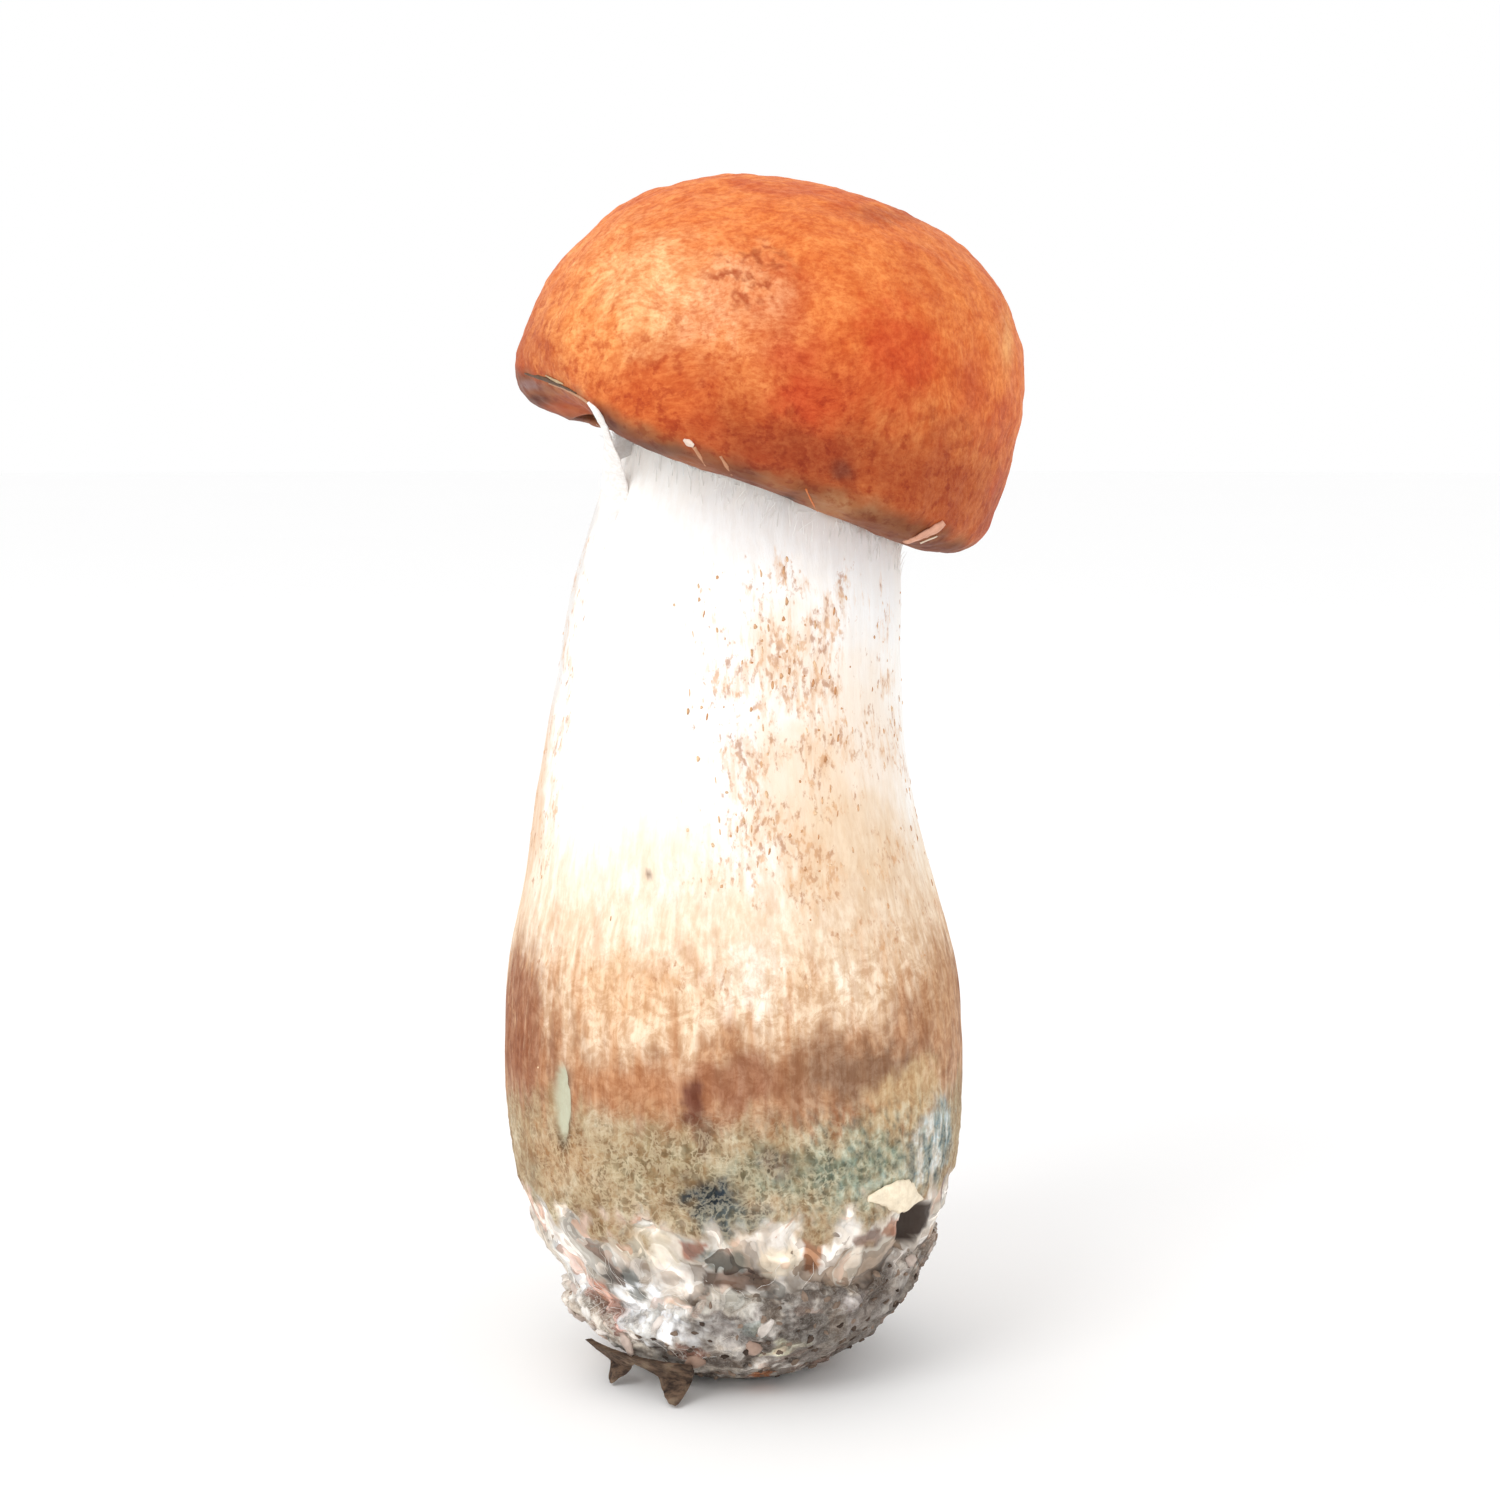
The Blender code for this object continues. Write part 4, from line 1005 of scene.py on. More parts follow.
FOOT_PATCHES = (
    Patch("teal by the foot", (-92, 17.4), (2.4, 1.4), (112, 122, 116), 0.7),
    Patch("reddish spot", (-101, 18.4), (1.5, 1.0), (172, 112, 90), 0.85),
    Patch("cream beside it", (-116, 18.6), (4.4, 2.0), (214, 200, 176), 0.7),
    Patch("orange brown streak", (-69, 18.6), (1.3, 3.4), (160, 104, 60), 0.9),
    Patch("cream by the streak", (-78, 17.0), (2.0, 2.0), (226, 208, 180), 0.7),
    Patch("dark brown patch", (-90, 15.0), (4.2, 1.4), (92, 68, 52), 0.9),
    Patch("white over the patch", (-92, 12.4), (4.0, 1.2), (224, 216, 202), 0.7),
    Patch("pale over the soil", (-54, 15.0), (3.0, 2.0), (214, 200, 184), 0.7),
    Patch("brown bits on the right", (-52, 19.0), (2.0, 1.2), (120, 84, 66), 0.8),
    Patch("pinkish bits", (-138, 10.5), (2.4, 2.4), (224, 178, 160), 0.85),
    Patch("pinkish bit below", (-130, 8.2), (1.6, 1.4), (198, 140, 122), 0.8),
    # Painted shade in a gap between the bits, and painted highlights on wet white lumps.
    Patch("dark gap", (-120, 13.6), (1.6, 2.2), (104, 108, 104), 0.8),
    Patch("white gloss", (-116, 10.0), (5.4, 3.2), (253, 253, 252), 1.0),
    Patch("white gloss left", (-150, 12.5), (3.0, 4.0), (248, 248, 246), 0.9),
    Patch("grey white lumps", (-96, 8.4), (4.0, 2.6), (186, 180, 174), 0.6),
    Patch("pale wedge", (-72, 6.6), (2.4, 1.6), (216, 208, 180), 0.85),
    Patch("orange bit", (-77, 1.8), (1.4, 0.9), (190, 112, 52), 0.85),
    Patch("teal glint", (-84, 9.5), (1.6, 1.6), (150, 160, 152), 0.6),
    Patch("brown bit", (-104, 6.0), (2.0, 1.2), (128, 88, 70), 0.8),
    Patch("dark soil", (-40, 8.5), (11.0, 5.0), (132, 122, 113), 0.6),
    Patch("grey clods", (-52, 11.5), (2.2, 1.6), (182, 172, 166), 0.6),
    Patch("pale sliver", (-29, 22.6), (1.1, 3.2), (228, 222, 208), 0.9),
    Patch("brown beside it", (-20, 22.4), (1.0, 2.4), (118, 84, 72), 0.85),
    Patch("orange brown by the hollow", (-44, 19.4), (1.6, 1.2), (158, 100, 66), 0.8),
)


def earth_share(angle, height, points):
    """1 where dark soil covers the foot: at the right and the back, and underneath."""
    ragged = 0.9 * rough(points, 4 * MM, 3.0, octaves=3)
    side = smooth_step(-0.2, 0.6, np.cos(angle + 0.55) + ragged)
    side *= smooth_step(19 * MM, 12 * MM, height)
    back = smooth_step(-0.1, 0.6, np.sin(angle) + ragged)
    back *= smooth_step(17 * MM, 10 * MM, height)
    under = smooth_step(4.2 * MM, 1.4 * MM, height + 2 * MM * ragged)
    return np.maximum(np.maximum(side, 0.9 * back), 0.85 * under)


def foot_tone(angle, height, points):
    """Colours of the foot and its crust: matted white mycelium, bits of flesh and dark soil."""
    tone = all_over(points, (236, 226, 213))
    blobs = rough(points, 2.4 * MM, 9.0, octaves=3)
    tone = mixed(tone, (168, 146, 126), 0.35 * smooth_step(0.1, 0.35, blobs))
    earth = earth_share(angle, height, points)
    grit = smooth_step(0.0, 0.4, rough(points, 1.6 * MM, 71.0, octaves=3))
    soil = mixed(all_over(points, (122, 111, 102)), (190, 181, 171), grit)
    tone = blended(tone, soil, earth)
    radius = crust_radius(height)
    return by_patches(tone, angle, height, radius, FOOT_PATCHES, points, edge=(0.3, 0.5))


def stem_marks(angle, height, points):
    """Shares of flecks, of netting and of fibre streaks at each point."""
    z = height / MM
    other_strips = 0.6 * smooth_step(-0.1, 0.4, np.cos(2 * angle + 0.9 + 0.6 * np.sin(3 * angle)))
    strip = np.maximum(near_angle(angle, *FLECKED_SIDE), other_strips)
    tall = smooth_step(93.5, 87, z) * smooth_step(48, 58, z)
    left_edge = 0.6 * near_angle(angle, *LEFT_FLECKS_SIDE)
    flecks = np.maximum(strip * tall, left_edge * smooth_step(70, 58, z) * smooth_step(30, 40, z))
    flecks = np.maximum(flecks, 0.6 * smooth_step(60, 48, z) * smooth_step(40, 47, z))
    patchy = 0.85 + 0.8 * rough(points, 5 * MM, 21.0, octaves=2)
    netting = smooth_step(35, 29, z) * (0.9 + 0.6 * rough(points, 4 * MM, 31.0))
    middle = 0.55 + 0.45 * near_angle(angle, *NETTED_SIDE)
    netting *= 1 - foot_share(angle, height, points)
    streaks = smooth_step(72, 45, z) * 0.85 + 0.15
    return np.clip(np.stack((flecks * patchy, netting * middle, streaks), axis=-1), 0, 1)


def make_stem(finish):
    """The stem's skin, with its grazes, its foot's lumps and its lengthwise fibres."""
    angles = TURN * np.arange(STEM_COLUMNS) / STEM_COLUMNS
    t = np.linspace(0, 1, STEM_ROWS + 1)[1:-1]
    eased = t - np.sin(TURN * t) / TURN * 0.6
    heights = STEM_TOP + (STEM_FOOT - STEM_TOP) * eased
    angle, height = np.meshgrid(angles, heights)
    plain = stem_surface(angle, height)
    relief = 0.10 * MM * rough(pressed(plain, 8.0), 1.1 * MM, 3.0, octaves=2)
    relief += 0.22 * MM * rough(plain, 9 * MM, 5.0)
    low = smooth_step(34 * MM, 24 * MM, height)
    relief += 0.18 * MM * low * rough(plain, 1.3 * MM, 13.0, octaves=2)
    foot = foot_share(angle, height, plain)
    relief += 0.7 * MM * foot * (billows(plain, 3.4 * MM, 19.0) - 0.6)
    for bite_angle, bite_height, (depth, across, tall) in BITES:
        side = stem_radius(height) * angle_between(angle, bite_angle) / across
        up = (height - bite_height) / tall
        bite = np.clip(1 - side * side - up * up, 0, 1) ** 0.5
        relief -= depth * bite
    grid = stem_surface(angle, height, relief - SKIN_INSET)
    top = stem_surface(0, STEM_TOP)
    top[:2] = (lean_at(STEM_TOP), 0)
    stem = skin("stem_flesh", grid, top=top, bottom=(0, 0, STEM_FOOT))
    tone = blended(stem_tone(angle, height, plain), foot_tone(angle, height, plain), foot)
    # Painted shade: the hollow's inner wall is painted near-black brown, as if in shadow.
    hollow_angle, hollow_height, _ = BITES[0]
    hollow = bell(stem_radius(height) * angle_between(angle, hollow_angle + HOLLOW_SHADE_TURN), 2.9 * MM)
    hollow = hollow * bell(height - hollow_height + 0.2 * MM, 2.6 * MM)
    hollow = smooth_step(0.3, 0.6, hollow + 0.15 * rough(plain, 1.5 * MM, 83.0, octaves=2))
    tone = mixed(tone, (50, 35, 28), 0.95 * hollow)
    graze_angle, graze_height, graze_radii = BITES[1]
    side = stem_radius(height) * angle_between(angle, graze_angle) / graze_radii[1]
    up = (height - graze_height) / graze_radii[2]
    inside = np.sqrt(side * side + up * up)
    rim = bell(inside - 1.05, 0.22) * smooth_step(-1.0, 0.6, side - up)
    tone = mixed(tone, (96, 78, 56), 0.8 * rim)
    tone = mixed(tone, (196, 196, 172), smooth_step(1.05, 0.8, inside))
    marks = stem_marks(angle, height, plain)
    marks *= (1 - 0.8 * smooth_step(1.2, 0.8, inside))[..., None]
    marks[..., 2] *= 1 - 0.8 * foot
    paint(stem, "tone", tone)
    rest_of_foot = foot * (1 - hollow)
    paint(stem, "marks", np.concatenate((marks, rest_of_foot[..., None]), axis=-1))
    stained = smooth_step(54 * MM, 44 * MM, height)
    paint(stem, "zones", np.repeat((0.25 + 0.75 * stained)[..., None], 3, axis=-1))
    away = 1 - near_angle(angle, *SMOOTH_SIDE)
    upper = 0.2 + 0.8 * smooth_step(50 * MM, 60 * MM, height)
    clumps = smooth_step(-0.25, 0.35, rough(plain, 2.6 * MM, 77.0, octaves=2))
    store_share(stem, "scaber_share", np.clip(marks[..., 0] - 0.1, 0, 1) * away * upper * clumps)
    stem.data.materials.append(finish)
    return stem


def soil_edge(angle):
    """How high the soil reaches: highest on the right, ragged all round."""
    places = np.stack((3 * np.cos(angle), 3 * np.sin(angle), np.full_like(angle, 5.0)), axis=-1)
    return SOIL_MEAN_EDGE + SOIL_EDGE_SLOPE * np.cos(angle) + SOIL_EDGE_RAGGED * rough(places, 1.0)


def make_crust(finish):
    """The caked crust, with lumps, cut level where it stands."""
    angles = TURN * np.arange(SOIL_COLUMNS) / SOIL_COLUMNS
    heights = np.linspace(SOIL_TOP, 0, SOIL_ROWS)
    angle, height = np.meshgrid(angles, heights)
    across = np.stack((np.cos(angle), np.sin(angle), np.zeros_like(angle)), axis=-1)
    plain = across * crust_radius(height)[..., None]
    plain[..., 2] = height
    edge = soil_edge(angle) + 1.2 * MM * rough(plain, 1.8 * MM, 14.0, octaves=3)
    sunk = smooth_step(edge - SOIL_THINS_BELOW, edge + SOIL_BURIED_ABOVE, height)
    lumps = rough(plain, SOIL_GRAIN) * SOIL_ROUGHNESS
    lumps += 0.45 * MM * rough(plain, 1.5 * MM, 6.0, octaves=3)
    lumps += 0.5 * MM * (billows(plain, 3.0 * MM, 9.0) - 0.5)
    at_floor = smooth_step(0, 1.5 * MM, height)
    shrink = (lumps - 0.15 * MM) * at_floor * (1 - sunk) - SOIL_BURIED * sunk
    grid = plain + across * (shrink - SKIN_INSET)[..., None]
    grid[..., 2] = np.maximum(grid[..., 2], 0.02 * MM)
    crust = skin("earth_crust", grid, top=(0, 0, SOIL_TOP), bottom=(0, 0, 0.02 * MM))
    tone = foot_tone(angle, height, plain)
    dips = smooth_step(-0.1 * MM, -0.7 * MM, lumps)
    tone = mixed(tone, (84, 70, 60), 0.55 * dips)
    earth = earth_share(angle, height, plain)
    wet = smooth_step(0.45, 0.8, tone[..., 1])
    paint(crust, "tone", tone)
    paint(crust, "marks", np.stack((earth, wet, wet * 0), axis=-1))
    above_floor = smooth_step(0.8 * MM, 2.0 * MM, height) * (1 - sunk)
    store_share(crust, "earth_share", (0.15 + 0.85 * earth) * above_floor)
    store_share(crust, "mycelium_share", (1 - earth) * above_floor)
    crust.data.materials.append(finish)
    return crust


def new_tree(name, kinds, result):
    """A Geometry Nodes tree with inputs of these kinds: its net and its inputs' values."""
    tree = bpy.data.node_groups.new(name, "GeometryNodeTree")
    for title, kind in kinds.items():
        tree.interface.new_socket(title, in_out="INPUT", socket_type="NodeSocket" + kind)
    tree.interface.new_socket(result, in_out="OUTPUT", socket_type="NodeSocketGeometry")
    net = Net(tree)
    return net, net.add("NodeGroupInput").outputs


def tube_ring_tree():
    """A ring of tubes by a rule: a turned outline whose lower face is pressed into pores."""
    sizes = {
        "Inner radius": TUBES_INNER,
        "Outer radius": TUBES_OUTER,
        "Face height": PORE_FACE,
        "Face rise": PORE_FACE_RISE,
        "Top height": RECESS_TOP - 0.3 * MM,
        "Pore size": PORE_SIZE,
        "Pore depth": PORE_DEPTH,
    }
    counts = {"Columns": TUBES_COLUMNS, "Face rows": TUBES_FACE_ROWS}
    kinds = {**dict.fromkeys(sizes, "Float"), **dict.fromkeys(counts, "Int"), "Finish": "Material"}
    net, given = new_tree("tube_ring", kinds, "Ring")
    for name, value in {**sizes, **counts}.items():
        net.tree.interface.items_tree[name].default_value = value
    rows = net.plus(given["Face rows"], TUBES_WALL_ROWS)
    grid = net.add("GeometryNodeMeshGrid", {"Size X": 1.0, "Size Y": 1.0})
    columns = net.plus(given["Columns"], 1)
    net.fill(grid.inputs["Vertices X"], columns)
    net.fill(grid.inputs["Vertices Y"], rows)
    index = net.add("GeometryNodeInputIndex").outputs[0]
    column = net.math("FLOOR", net.math("DIVIDE", index, rows))
    row = net.minus(index, net.times(column, rows))
    angle = net.times(net.math("DIVIDE", column, given["Columns"]), TURN)
    along = net.math("DIVIDE", row, net.minus(given["Face rows"], 1), clamp=True)
    past_face = net.minus(row, net.minus(given["Face rows"], 1))
    back = net.math("DIVIDE", past_face, TUBES_WALL_ROWS, clamp=True)
    width = net.minus(given["Outer radius"], given["Inner radius"])
    face_radius = net.plus(given["Inner radius"], net.times(width, along))
    up_wall = net.band(back, 0.0, 0.5)
    home = net.times(width, net.times(net.band(back, 0.3, 1.0), 0.98))
    radius = net.minus(face_radius, home)
    both_radii = net.plus(given["Inner radius"], given["Outer radius"])
    middle = net.plus(net.times(both_radii, 0.5), MM)
    off = net.math("DIVIDE", net.minus(face_radius, middle), net.times(width, 0.5))
    bowl = net.times(given["Face rise"], net.times(off, off))
    face_height = net.plus(given["Face height"], bowl)
    wall = net.times(net.minus(given["Top height"], face_height), up_wall)
    x = net.times(radius, net.math("COSINE", angle))
    y = net.times(radius, net.math("SINE", angle))
    flat = net.add("ShaderNodeCombineXYZ", {0: x, 1: y}).outputs[0]
    cells = net.add("ShaderNodeTexVoronoi", {"Vector": flat}, feature="DISTANCE_TO_EDGE")
    net.fill(cells.inputs["Scale"], net.math("DIVIDE", 1.0, given["Pore size"]))
    on_face = net.times(net.band(along, 0.0, 0.03), net.band(along, 1.0, 0.96))
    open_share = net.times(net.band(cells.outputs["Distance"], 0.06, 0.3), on_face)
    pore = net.times(open_share, given["Pore depth"])
    height = net.plus(net.plus(face_height, wall), pore)
    place = net.add("ShaderNodeCombineXYZ", {0: x, 1: y, 2: height}).outputs[0]
    placed = net.add("GeometryNodeSetPosition", {"Geometry": grid.outputs["Mesh"], "Position": place})
    noted = noting(net, placed.outputs[0], "depth", "POINT", open_share)
    closed = net.add("GeometryNodeMergeByDistance", {"Geometry": noted, "Distance": SEAM_WIDTH})
    smooth = net.add("GeometryNodeSetShadeSmooth", {"Geometry": closed.outputs[0]})
    return ending(net, smooth.outputs[0], given["Finish"])


def noting(net, geometry, name, domain, value):
    """Stores a value on each part of some geometry under a name."""
    inputs = {"Geometry": geometry, "Name": name}
    kind = "GeometryNodeStoreNamedAttribute"
    noted = net.add(kind, inputs, data_type="FLOAT", domain=domain)
    net.fill(noted.inputs["Value"], value)
    return noted.outputs[0]


def ending(net, geometry, finish):
    """Ends a tree with plain faces of one finish."""
    plain = net.add("GeometryNodeRealizeInstances", {0: geometry})
    finished = net.add("GeometryNodeSetMaterial", {"Geometry": plain.outputs[0], "Material": finish})
    out = net.add("NodeGroupOutput")
    net.fill(out.inputs[0], finished.outputs[0])
    return net.tree


def grown(name, tree, mesh=None, **inputs):
    """The plain mesh object that a tree makes, from mesh where it needs one."""
    host = linked(name, mesh.copy() if mesh else bpy.data.meshes.new(name))
    modifier = host.modifiers.new("grow", "NODES")
    modifier.node_group = tree
    for item in tree.interface.items_tree:
        wanted = item.name.lower().replace(" ", "_")
        if item.item_type == "SOCKET" and item.in_out == "INPUT" and wanted in inputs:
            modifier[item.identifier] = inputs[wanted]
    bpy.context.view_layer.update()
    graph = bpy.context.evaluated_depsgraph_get()
    made = bpy.data.meshes.new_from_object(host.evaluated_get(graph))
    host.modifiers.clear()
    host.data = made
    made.name = name
    return host


def make_tubes(finish):
    """The ring of tubes, with open pores below."""
    ring = grown("tube_ring", tube_ring_tree(), finish=finish)
    mesh = ring.data
    places = np.empty(len(mesh.vertices) * 3)
    mesh.vertices.foreach_get("co", places)
    places = from_cap(warped(places.reshape(-1, 3)))
    mesh.vertices.foreach_set("co", places.ravel())
    mesh.update()
    outward(ring)
    return ring


def outward(obj):
    """Turns all faces of a closed mesh outwards."""
    shape = bmesh.new()
    shape.from_mesh(obj.data)
    bmesh.ops.recalc_face_normals(shape, faces=shape.faces)
    shape.to_mesh(obj.data)
    shape.free()
    return obj


def scatter_tree():
    """Small shapes set on a surface, as dense as a stored share says, some sunk into it."""
    kinds = {
        "Surface": "Geometry",
        "Shapes": "Collection",
        "Share name": "String",
        "Spacing": "Float",
        "Density": "Float",
        "Smallest": "Vector",
        "Largest": "Vector",
        "Direction": "Vector",
        "Wander": "Float",
        "Seed": "Int",
        "Finish": "Material",
    }
    net, given = new_tree("scatter", kinds, "Pieces")
    share_name = {"Name": given["Share name"]}
    share = net.add("GeometryNodeInputNamedAttribute", share_name, data_type="FLOAT")
    spread = net.add("GeometryNodeDistributePointsOnFaces", distribute_method="POISSON")
    for name, value in (
        ("Mesh", given["Surface"]),
        ("Distance Min", given["Spacing"]),
        ("Density Max", given["Density"]),
        ("Density Factor", share.outputs[0]),
        ("Seed", given["Seed"]),
    ):
        net.fill(spread.inputs[name], value)
    along = net.add("FunctionNodeAlignRotationToVector", axis="Y", pivot_axis="Z")
    net.fill(along.inputs["Rotation"], spread.outputs["Rotation"])
    net.fill(along.inputs["Vector"], given["Direction"])
    roll = net.add("FunctionNodeRandomValue", {"ID": None}, data_type="FLOAT")
    net.fill(roll.inputs[2], net.times(given["Wander"], -1.0))
    net.fill(roll.inputs[3], given["Wander"])
    twist = net.add("FunctionNodeAxisAngleToRotation", {"Axis": (0, 0, 1)})
    net.fill(twist.inputs["Angle"], roll.outputs[1])
    turned = net.add("FunctionNodeRotateRotation", rotation_space="LOCAL")
    net.fill(turned.inputs[0], along.outputs[0])
    net.fill(turned.inputs[1], twist.outputs[0])
    extremes = {0: given["Smallest"], 1: given["Largest"]}
    size = net.add("FunctionNodeRandomValue", extremes, data_type="FLOAT_VECTOR")
    net.fill(size.inputs["Seed"], given["Seed"])
    shapes = net.add("GeometryNodeCollectionInfo", {"Separate Children": True, "Reset Children": True})
    net.fill(shapes.inputs["Collection"], given["Shapes"])
    copies = net.add("GeometryNodeInstanceOnPoints", {"Pick Instance": True})
    for name, value in (
        ("Points", spread.outputs["Points"]),
        ("Instance", shapes.outputs[0]),
        ("Rotation", turned.outputs[0]),
        ("Scale", size.outputs[0]),
    ):
        net.fill(copies.inputs[name], value)
    tint = net.add("FunctionNodeRandomValue", data_type="FLOAT").outputs[1]
    noted = noting(net, copies.outputs[0], "tint", "INSTANCE", tint)
    return ending(net, noted, given["Finish"])


def shape_collection(name, meshes):
    """A hidden collection of shapes for a scatter to pick from."""
    collection = bpy.data.collections.new(name)
    for i, mesh in enumerate(meshes):
        collection.objects.link(bpy.data.objects.new(f"{name}_{i}", mesh))
    return collection


def lumpy_meshes(name, count, subdivisions, moved, smooth=True):
    """Small closed shapes: balls one unit across with each point moved by a rule."""
    meshes = []
    for i in range(count):
        shape = bmesh.new()
        bmesh.ops.create_icosphere(shape, subdivisions=subdivisions, radius=0.5)
        for vertex in shape.verts:
            vertex.co = moved(vertex.co, i)
        mesh = bpy.data.meshes.new(f"{name}_{i}")
        shape.to_mesh(mesh)
        shape.free()
        if smooth:
            mesh.shade_smooth()
        meshes.append(mesh)
    return meshes


def tuft_point(place, i):
    """A point of a low ragged tuft, cut off a little below its middle."""
    place = place * (1 + 0.45 * noise.noise(place * 2.4 + Vector((7.0 * i, 0, 0))))
    place.z = max(place.z, -0.2)
    return place


def crumb_point(place, i):
    """A point of a crumb of earth, or of a worn lump."""
    way = place.normalized()
    place = place * (1 + 0.5 * noise.noise(way * 1.7 + Vector((5.0 * i, 2.0, 0))))
    return place * (1 + 0.2 * noise.noise(way * 5.0 + Vector((5.0 * i, 9.0, 0))))


def store_share(obj, name, values):
    """Stores how densely a scatter covers each grid point of a skin."""
    flat = values.ravel()
    spare = len(obj.data.vertices) - len(flat)
    flat = np.concatenate((flat, np.zeros(spare)))
    layer = obj.data.attributes.new(name, "FLOAT", "POINT")
    layer.data.foreach_set("value", flat.astype(np.float32))


def strands_tree():
    """Round threads of one thickness along the edges of a mesh."""
    kinds = {"Lines": "Geometry", "Thickness": "Float", "Sides": "Int", "Finish": "Material"}
    net, given = new_tree("strands", kinds, "Strands")
    curves = net.add("GeometryNodeMeshToCurve", {"Mesh": given["Lines"]})
    share = net.add("GeometryNodeInputNamedAttribute", {"Name": "girth"}, data_type="FLOAT")
    radius = net.times(net.times(given["Thickness"], 0.5), share.outputs[0])
    thick = net.add("GeometryNodeSetCurveRadius", {0: curves.outputs[0], "Radius": radius})
    outline = net.add("GeometryNodeCurvePrimitiveCircle", {"Resolution": given["Sides"], "Radius": 1.0})
    tube = net.add("GeometryNodeCurveToMesh", {"Curve": thick.outputs[0], "Fill Caps": True})
    net.fill(tube.inputs["Profile Curve"], outline.outputs[0])
    if "Scale" in tube.inputs:
        net.fill(tube.inputs["Scale"], radius)
    smooth = net.add("GeometryNodeSetShadeSmooth", {0: tube.outputs[0]})
    island = net.add("GeometryNodeInputMeshIsland").outputs["Island Index"]
    tint = net.add("FunctionNodeRandomValue", data_type="FLOAT")
    net.fill(tint.inputs["ID"], island)
    noted = noting(net, smooth.outputs[0], "tint", "POINT", tint.outputs[1])
    return ending(net, noted, given["Finish"])


def lines_mesh(name, lines):
    """A mesh of open lines: each is a list of (point, girth)."""
    points, edges, girths = [], [], []
    for line in lines:
        first = len(points)
        points += [tuple(point) for point, _ in line]
        girths += [girth for _, girth in line]
        edges += [(i, i + 1) for i in range(first, len(points) - 1)]
    mesh = bpy.data.meshes.new(name)
    mesh.from_pydata(points, edges, [])
    layer = mesh.attributes.new("girth", "FLOAT", "POINT")
    layer.data.foreach_set("value", np.array(girths, np.float32))
    return mesh


def strands(name, lines, thickness, finish):
    """One piece made of a thread along each line."""
    mesh = lines_mesh(name + "_lines", lines)
    return grown(name, strands_tree(), mesh, thickness=thickness, sides=STRAND_SIDES, finish=finish)


def make_bark_scrap(finish):
    """A thin curved flake with two ragged points, split along its fibres."""
    depth_at = curve_through(SCRAP_OUTLINE)
    columns, rows = SCRAP_COLUMNS, SCRAP_ROWS
    along, down = np.meshgrid(np.linspace(0, 1, columns), np.linspace(0, 1, rows))
    angle = SCRAP_ANGLES[0] + (SCRAP_ANGLES[1] - SCRAP_ANGLES[0]) * along
    jagged = 0.05 * rough(np.stack((along * 20, along * 0, along * 0), axis=-1), 1.0, 3.0)
    deep = np.clip(depth_at(along) + jagged, 0.2, 1.0) * down
    height = SCRAP_TOP + (SCRAP_LOWEST - SCRAP_TOP) * deep
    crust = crust_radius(height) + SOIL_ROUGHNESS
    flare = SCRAP_FLARE * deep * deep * (0.6 + along)
    radius = np.maximum(crust, crust_radius(SCRAP_TOP * 0.6)) + SCRAP_GAP + flare
    grid = np.stack((radius * np.cos(angle), radius * np.sin(angle), height), axis=-1)
    outward_way = np.stack((np.cos(angle), np.sin(angle), np.zeros_like(angle)), axis=-1)
    ridges = rough(np.stack((along * 9, down * 1.4, along * 0), axis=-1), 0.3, 6.0, octaves=3)
    thick = SCRAP_THICKNESS * (0.9 + 0.25 * ridges) * smooth_step(1.0, 0.75, down) + 0.12 * MM
    front = grid + outward_way * (thick * 0.5)[..., None]
    back = grid - outward_way * (thick * 0.5)[..., None]
    closed = np.concatenate((front, back[:, ::-1]), axis=1)
    scrap = skin("bark_flake", closed)
    cap_rows(scrap, rows, 2 * columns)
    scrap.data.materials.append(finish)
    return outward(scrap)


def cap_rows(obj, rows, columns):
    """Closes a flattened tube of faces along its first and last rows."""
    shape = bmesh.new()
    shape.from_mesh(obj.data)
    shape.verts.ensure_lookup_table()
    half = columns // 2
    for start in (0, (rows - 1) * columns):
        for i in range(half - 1):
            ring = (start + i, start + i + 1, start + columns - 2 - i, start + columns - 1 - i)
            shape.faces.new([shape.verts[j] for j in ring])
    shape.to_mesh(obj.data)
    shape.free()


def surface_tree(*objects):
    """The outer surface of some skins, for finding where a small piece lies on them."""
    points, faces = [], []
    for obj in objects:
        first = len(points)
        points += [vertex.co.copy() for vertex in obj.data.vertices]
        faces += [[first + i for i in face.vertices] for face in obj.data.polygons]
    return BVHTree.FromPolygons(points, faces)


def seen_at(tree, x, z):
    """Where a line from the front meets a surface at (x, z) in mm, and its way out, or None."""
    place, out, _, _ = tree.ray_cast(Vector((x, -100, z)) * MM, Vector((0, 1, 0)))
    return None if place is None else (np.array(place), np.array(out))


def beside_axis(tree, angle, height):
    """Where a level line towards the stem's axis meets a surface, and its way out, or None."""
    away = Vector((math.cos(angle), math.sin(angle), 0))
    place, out, _, _ = tree.ray_cast(away * 60 * MM + Vector((0, 0, height)), -away)
    return None if place is None else (np.array(place), np.array(out))


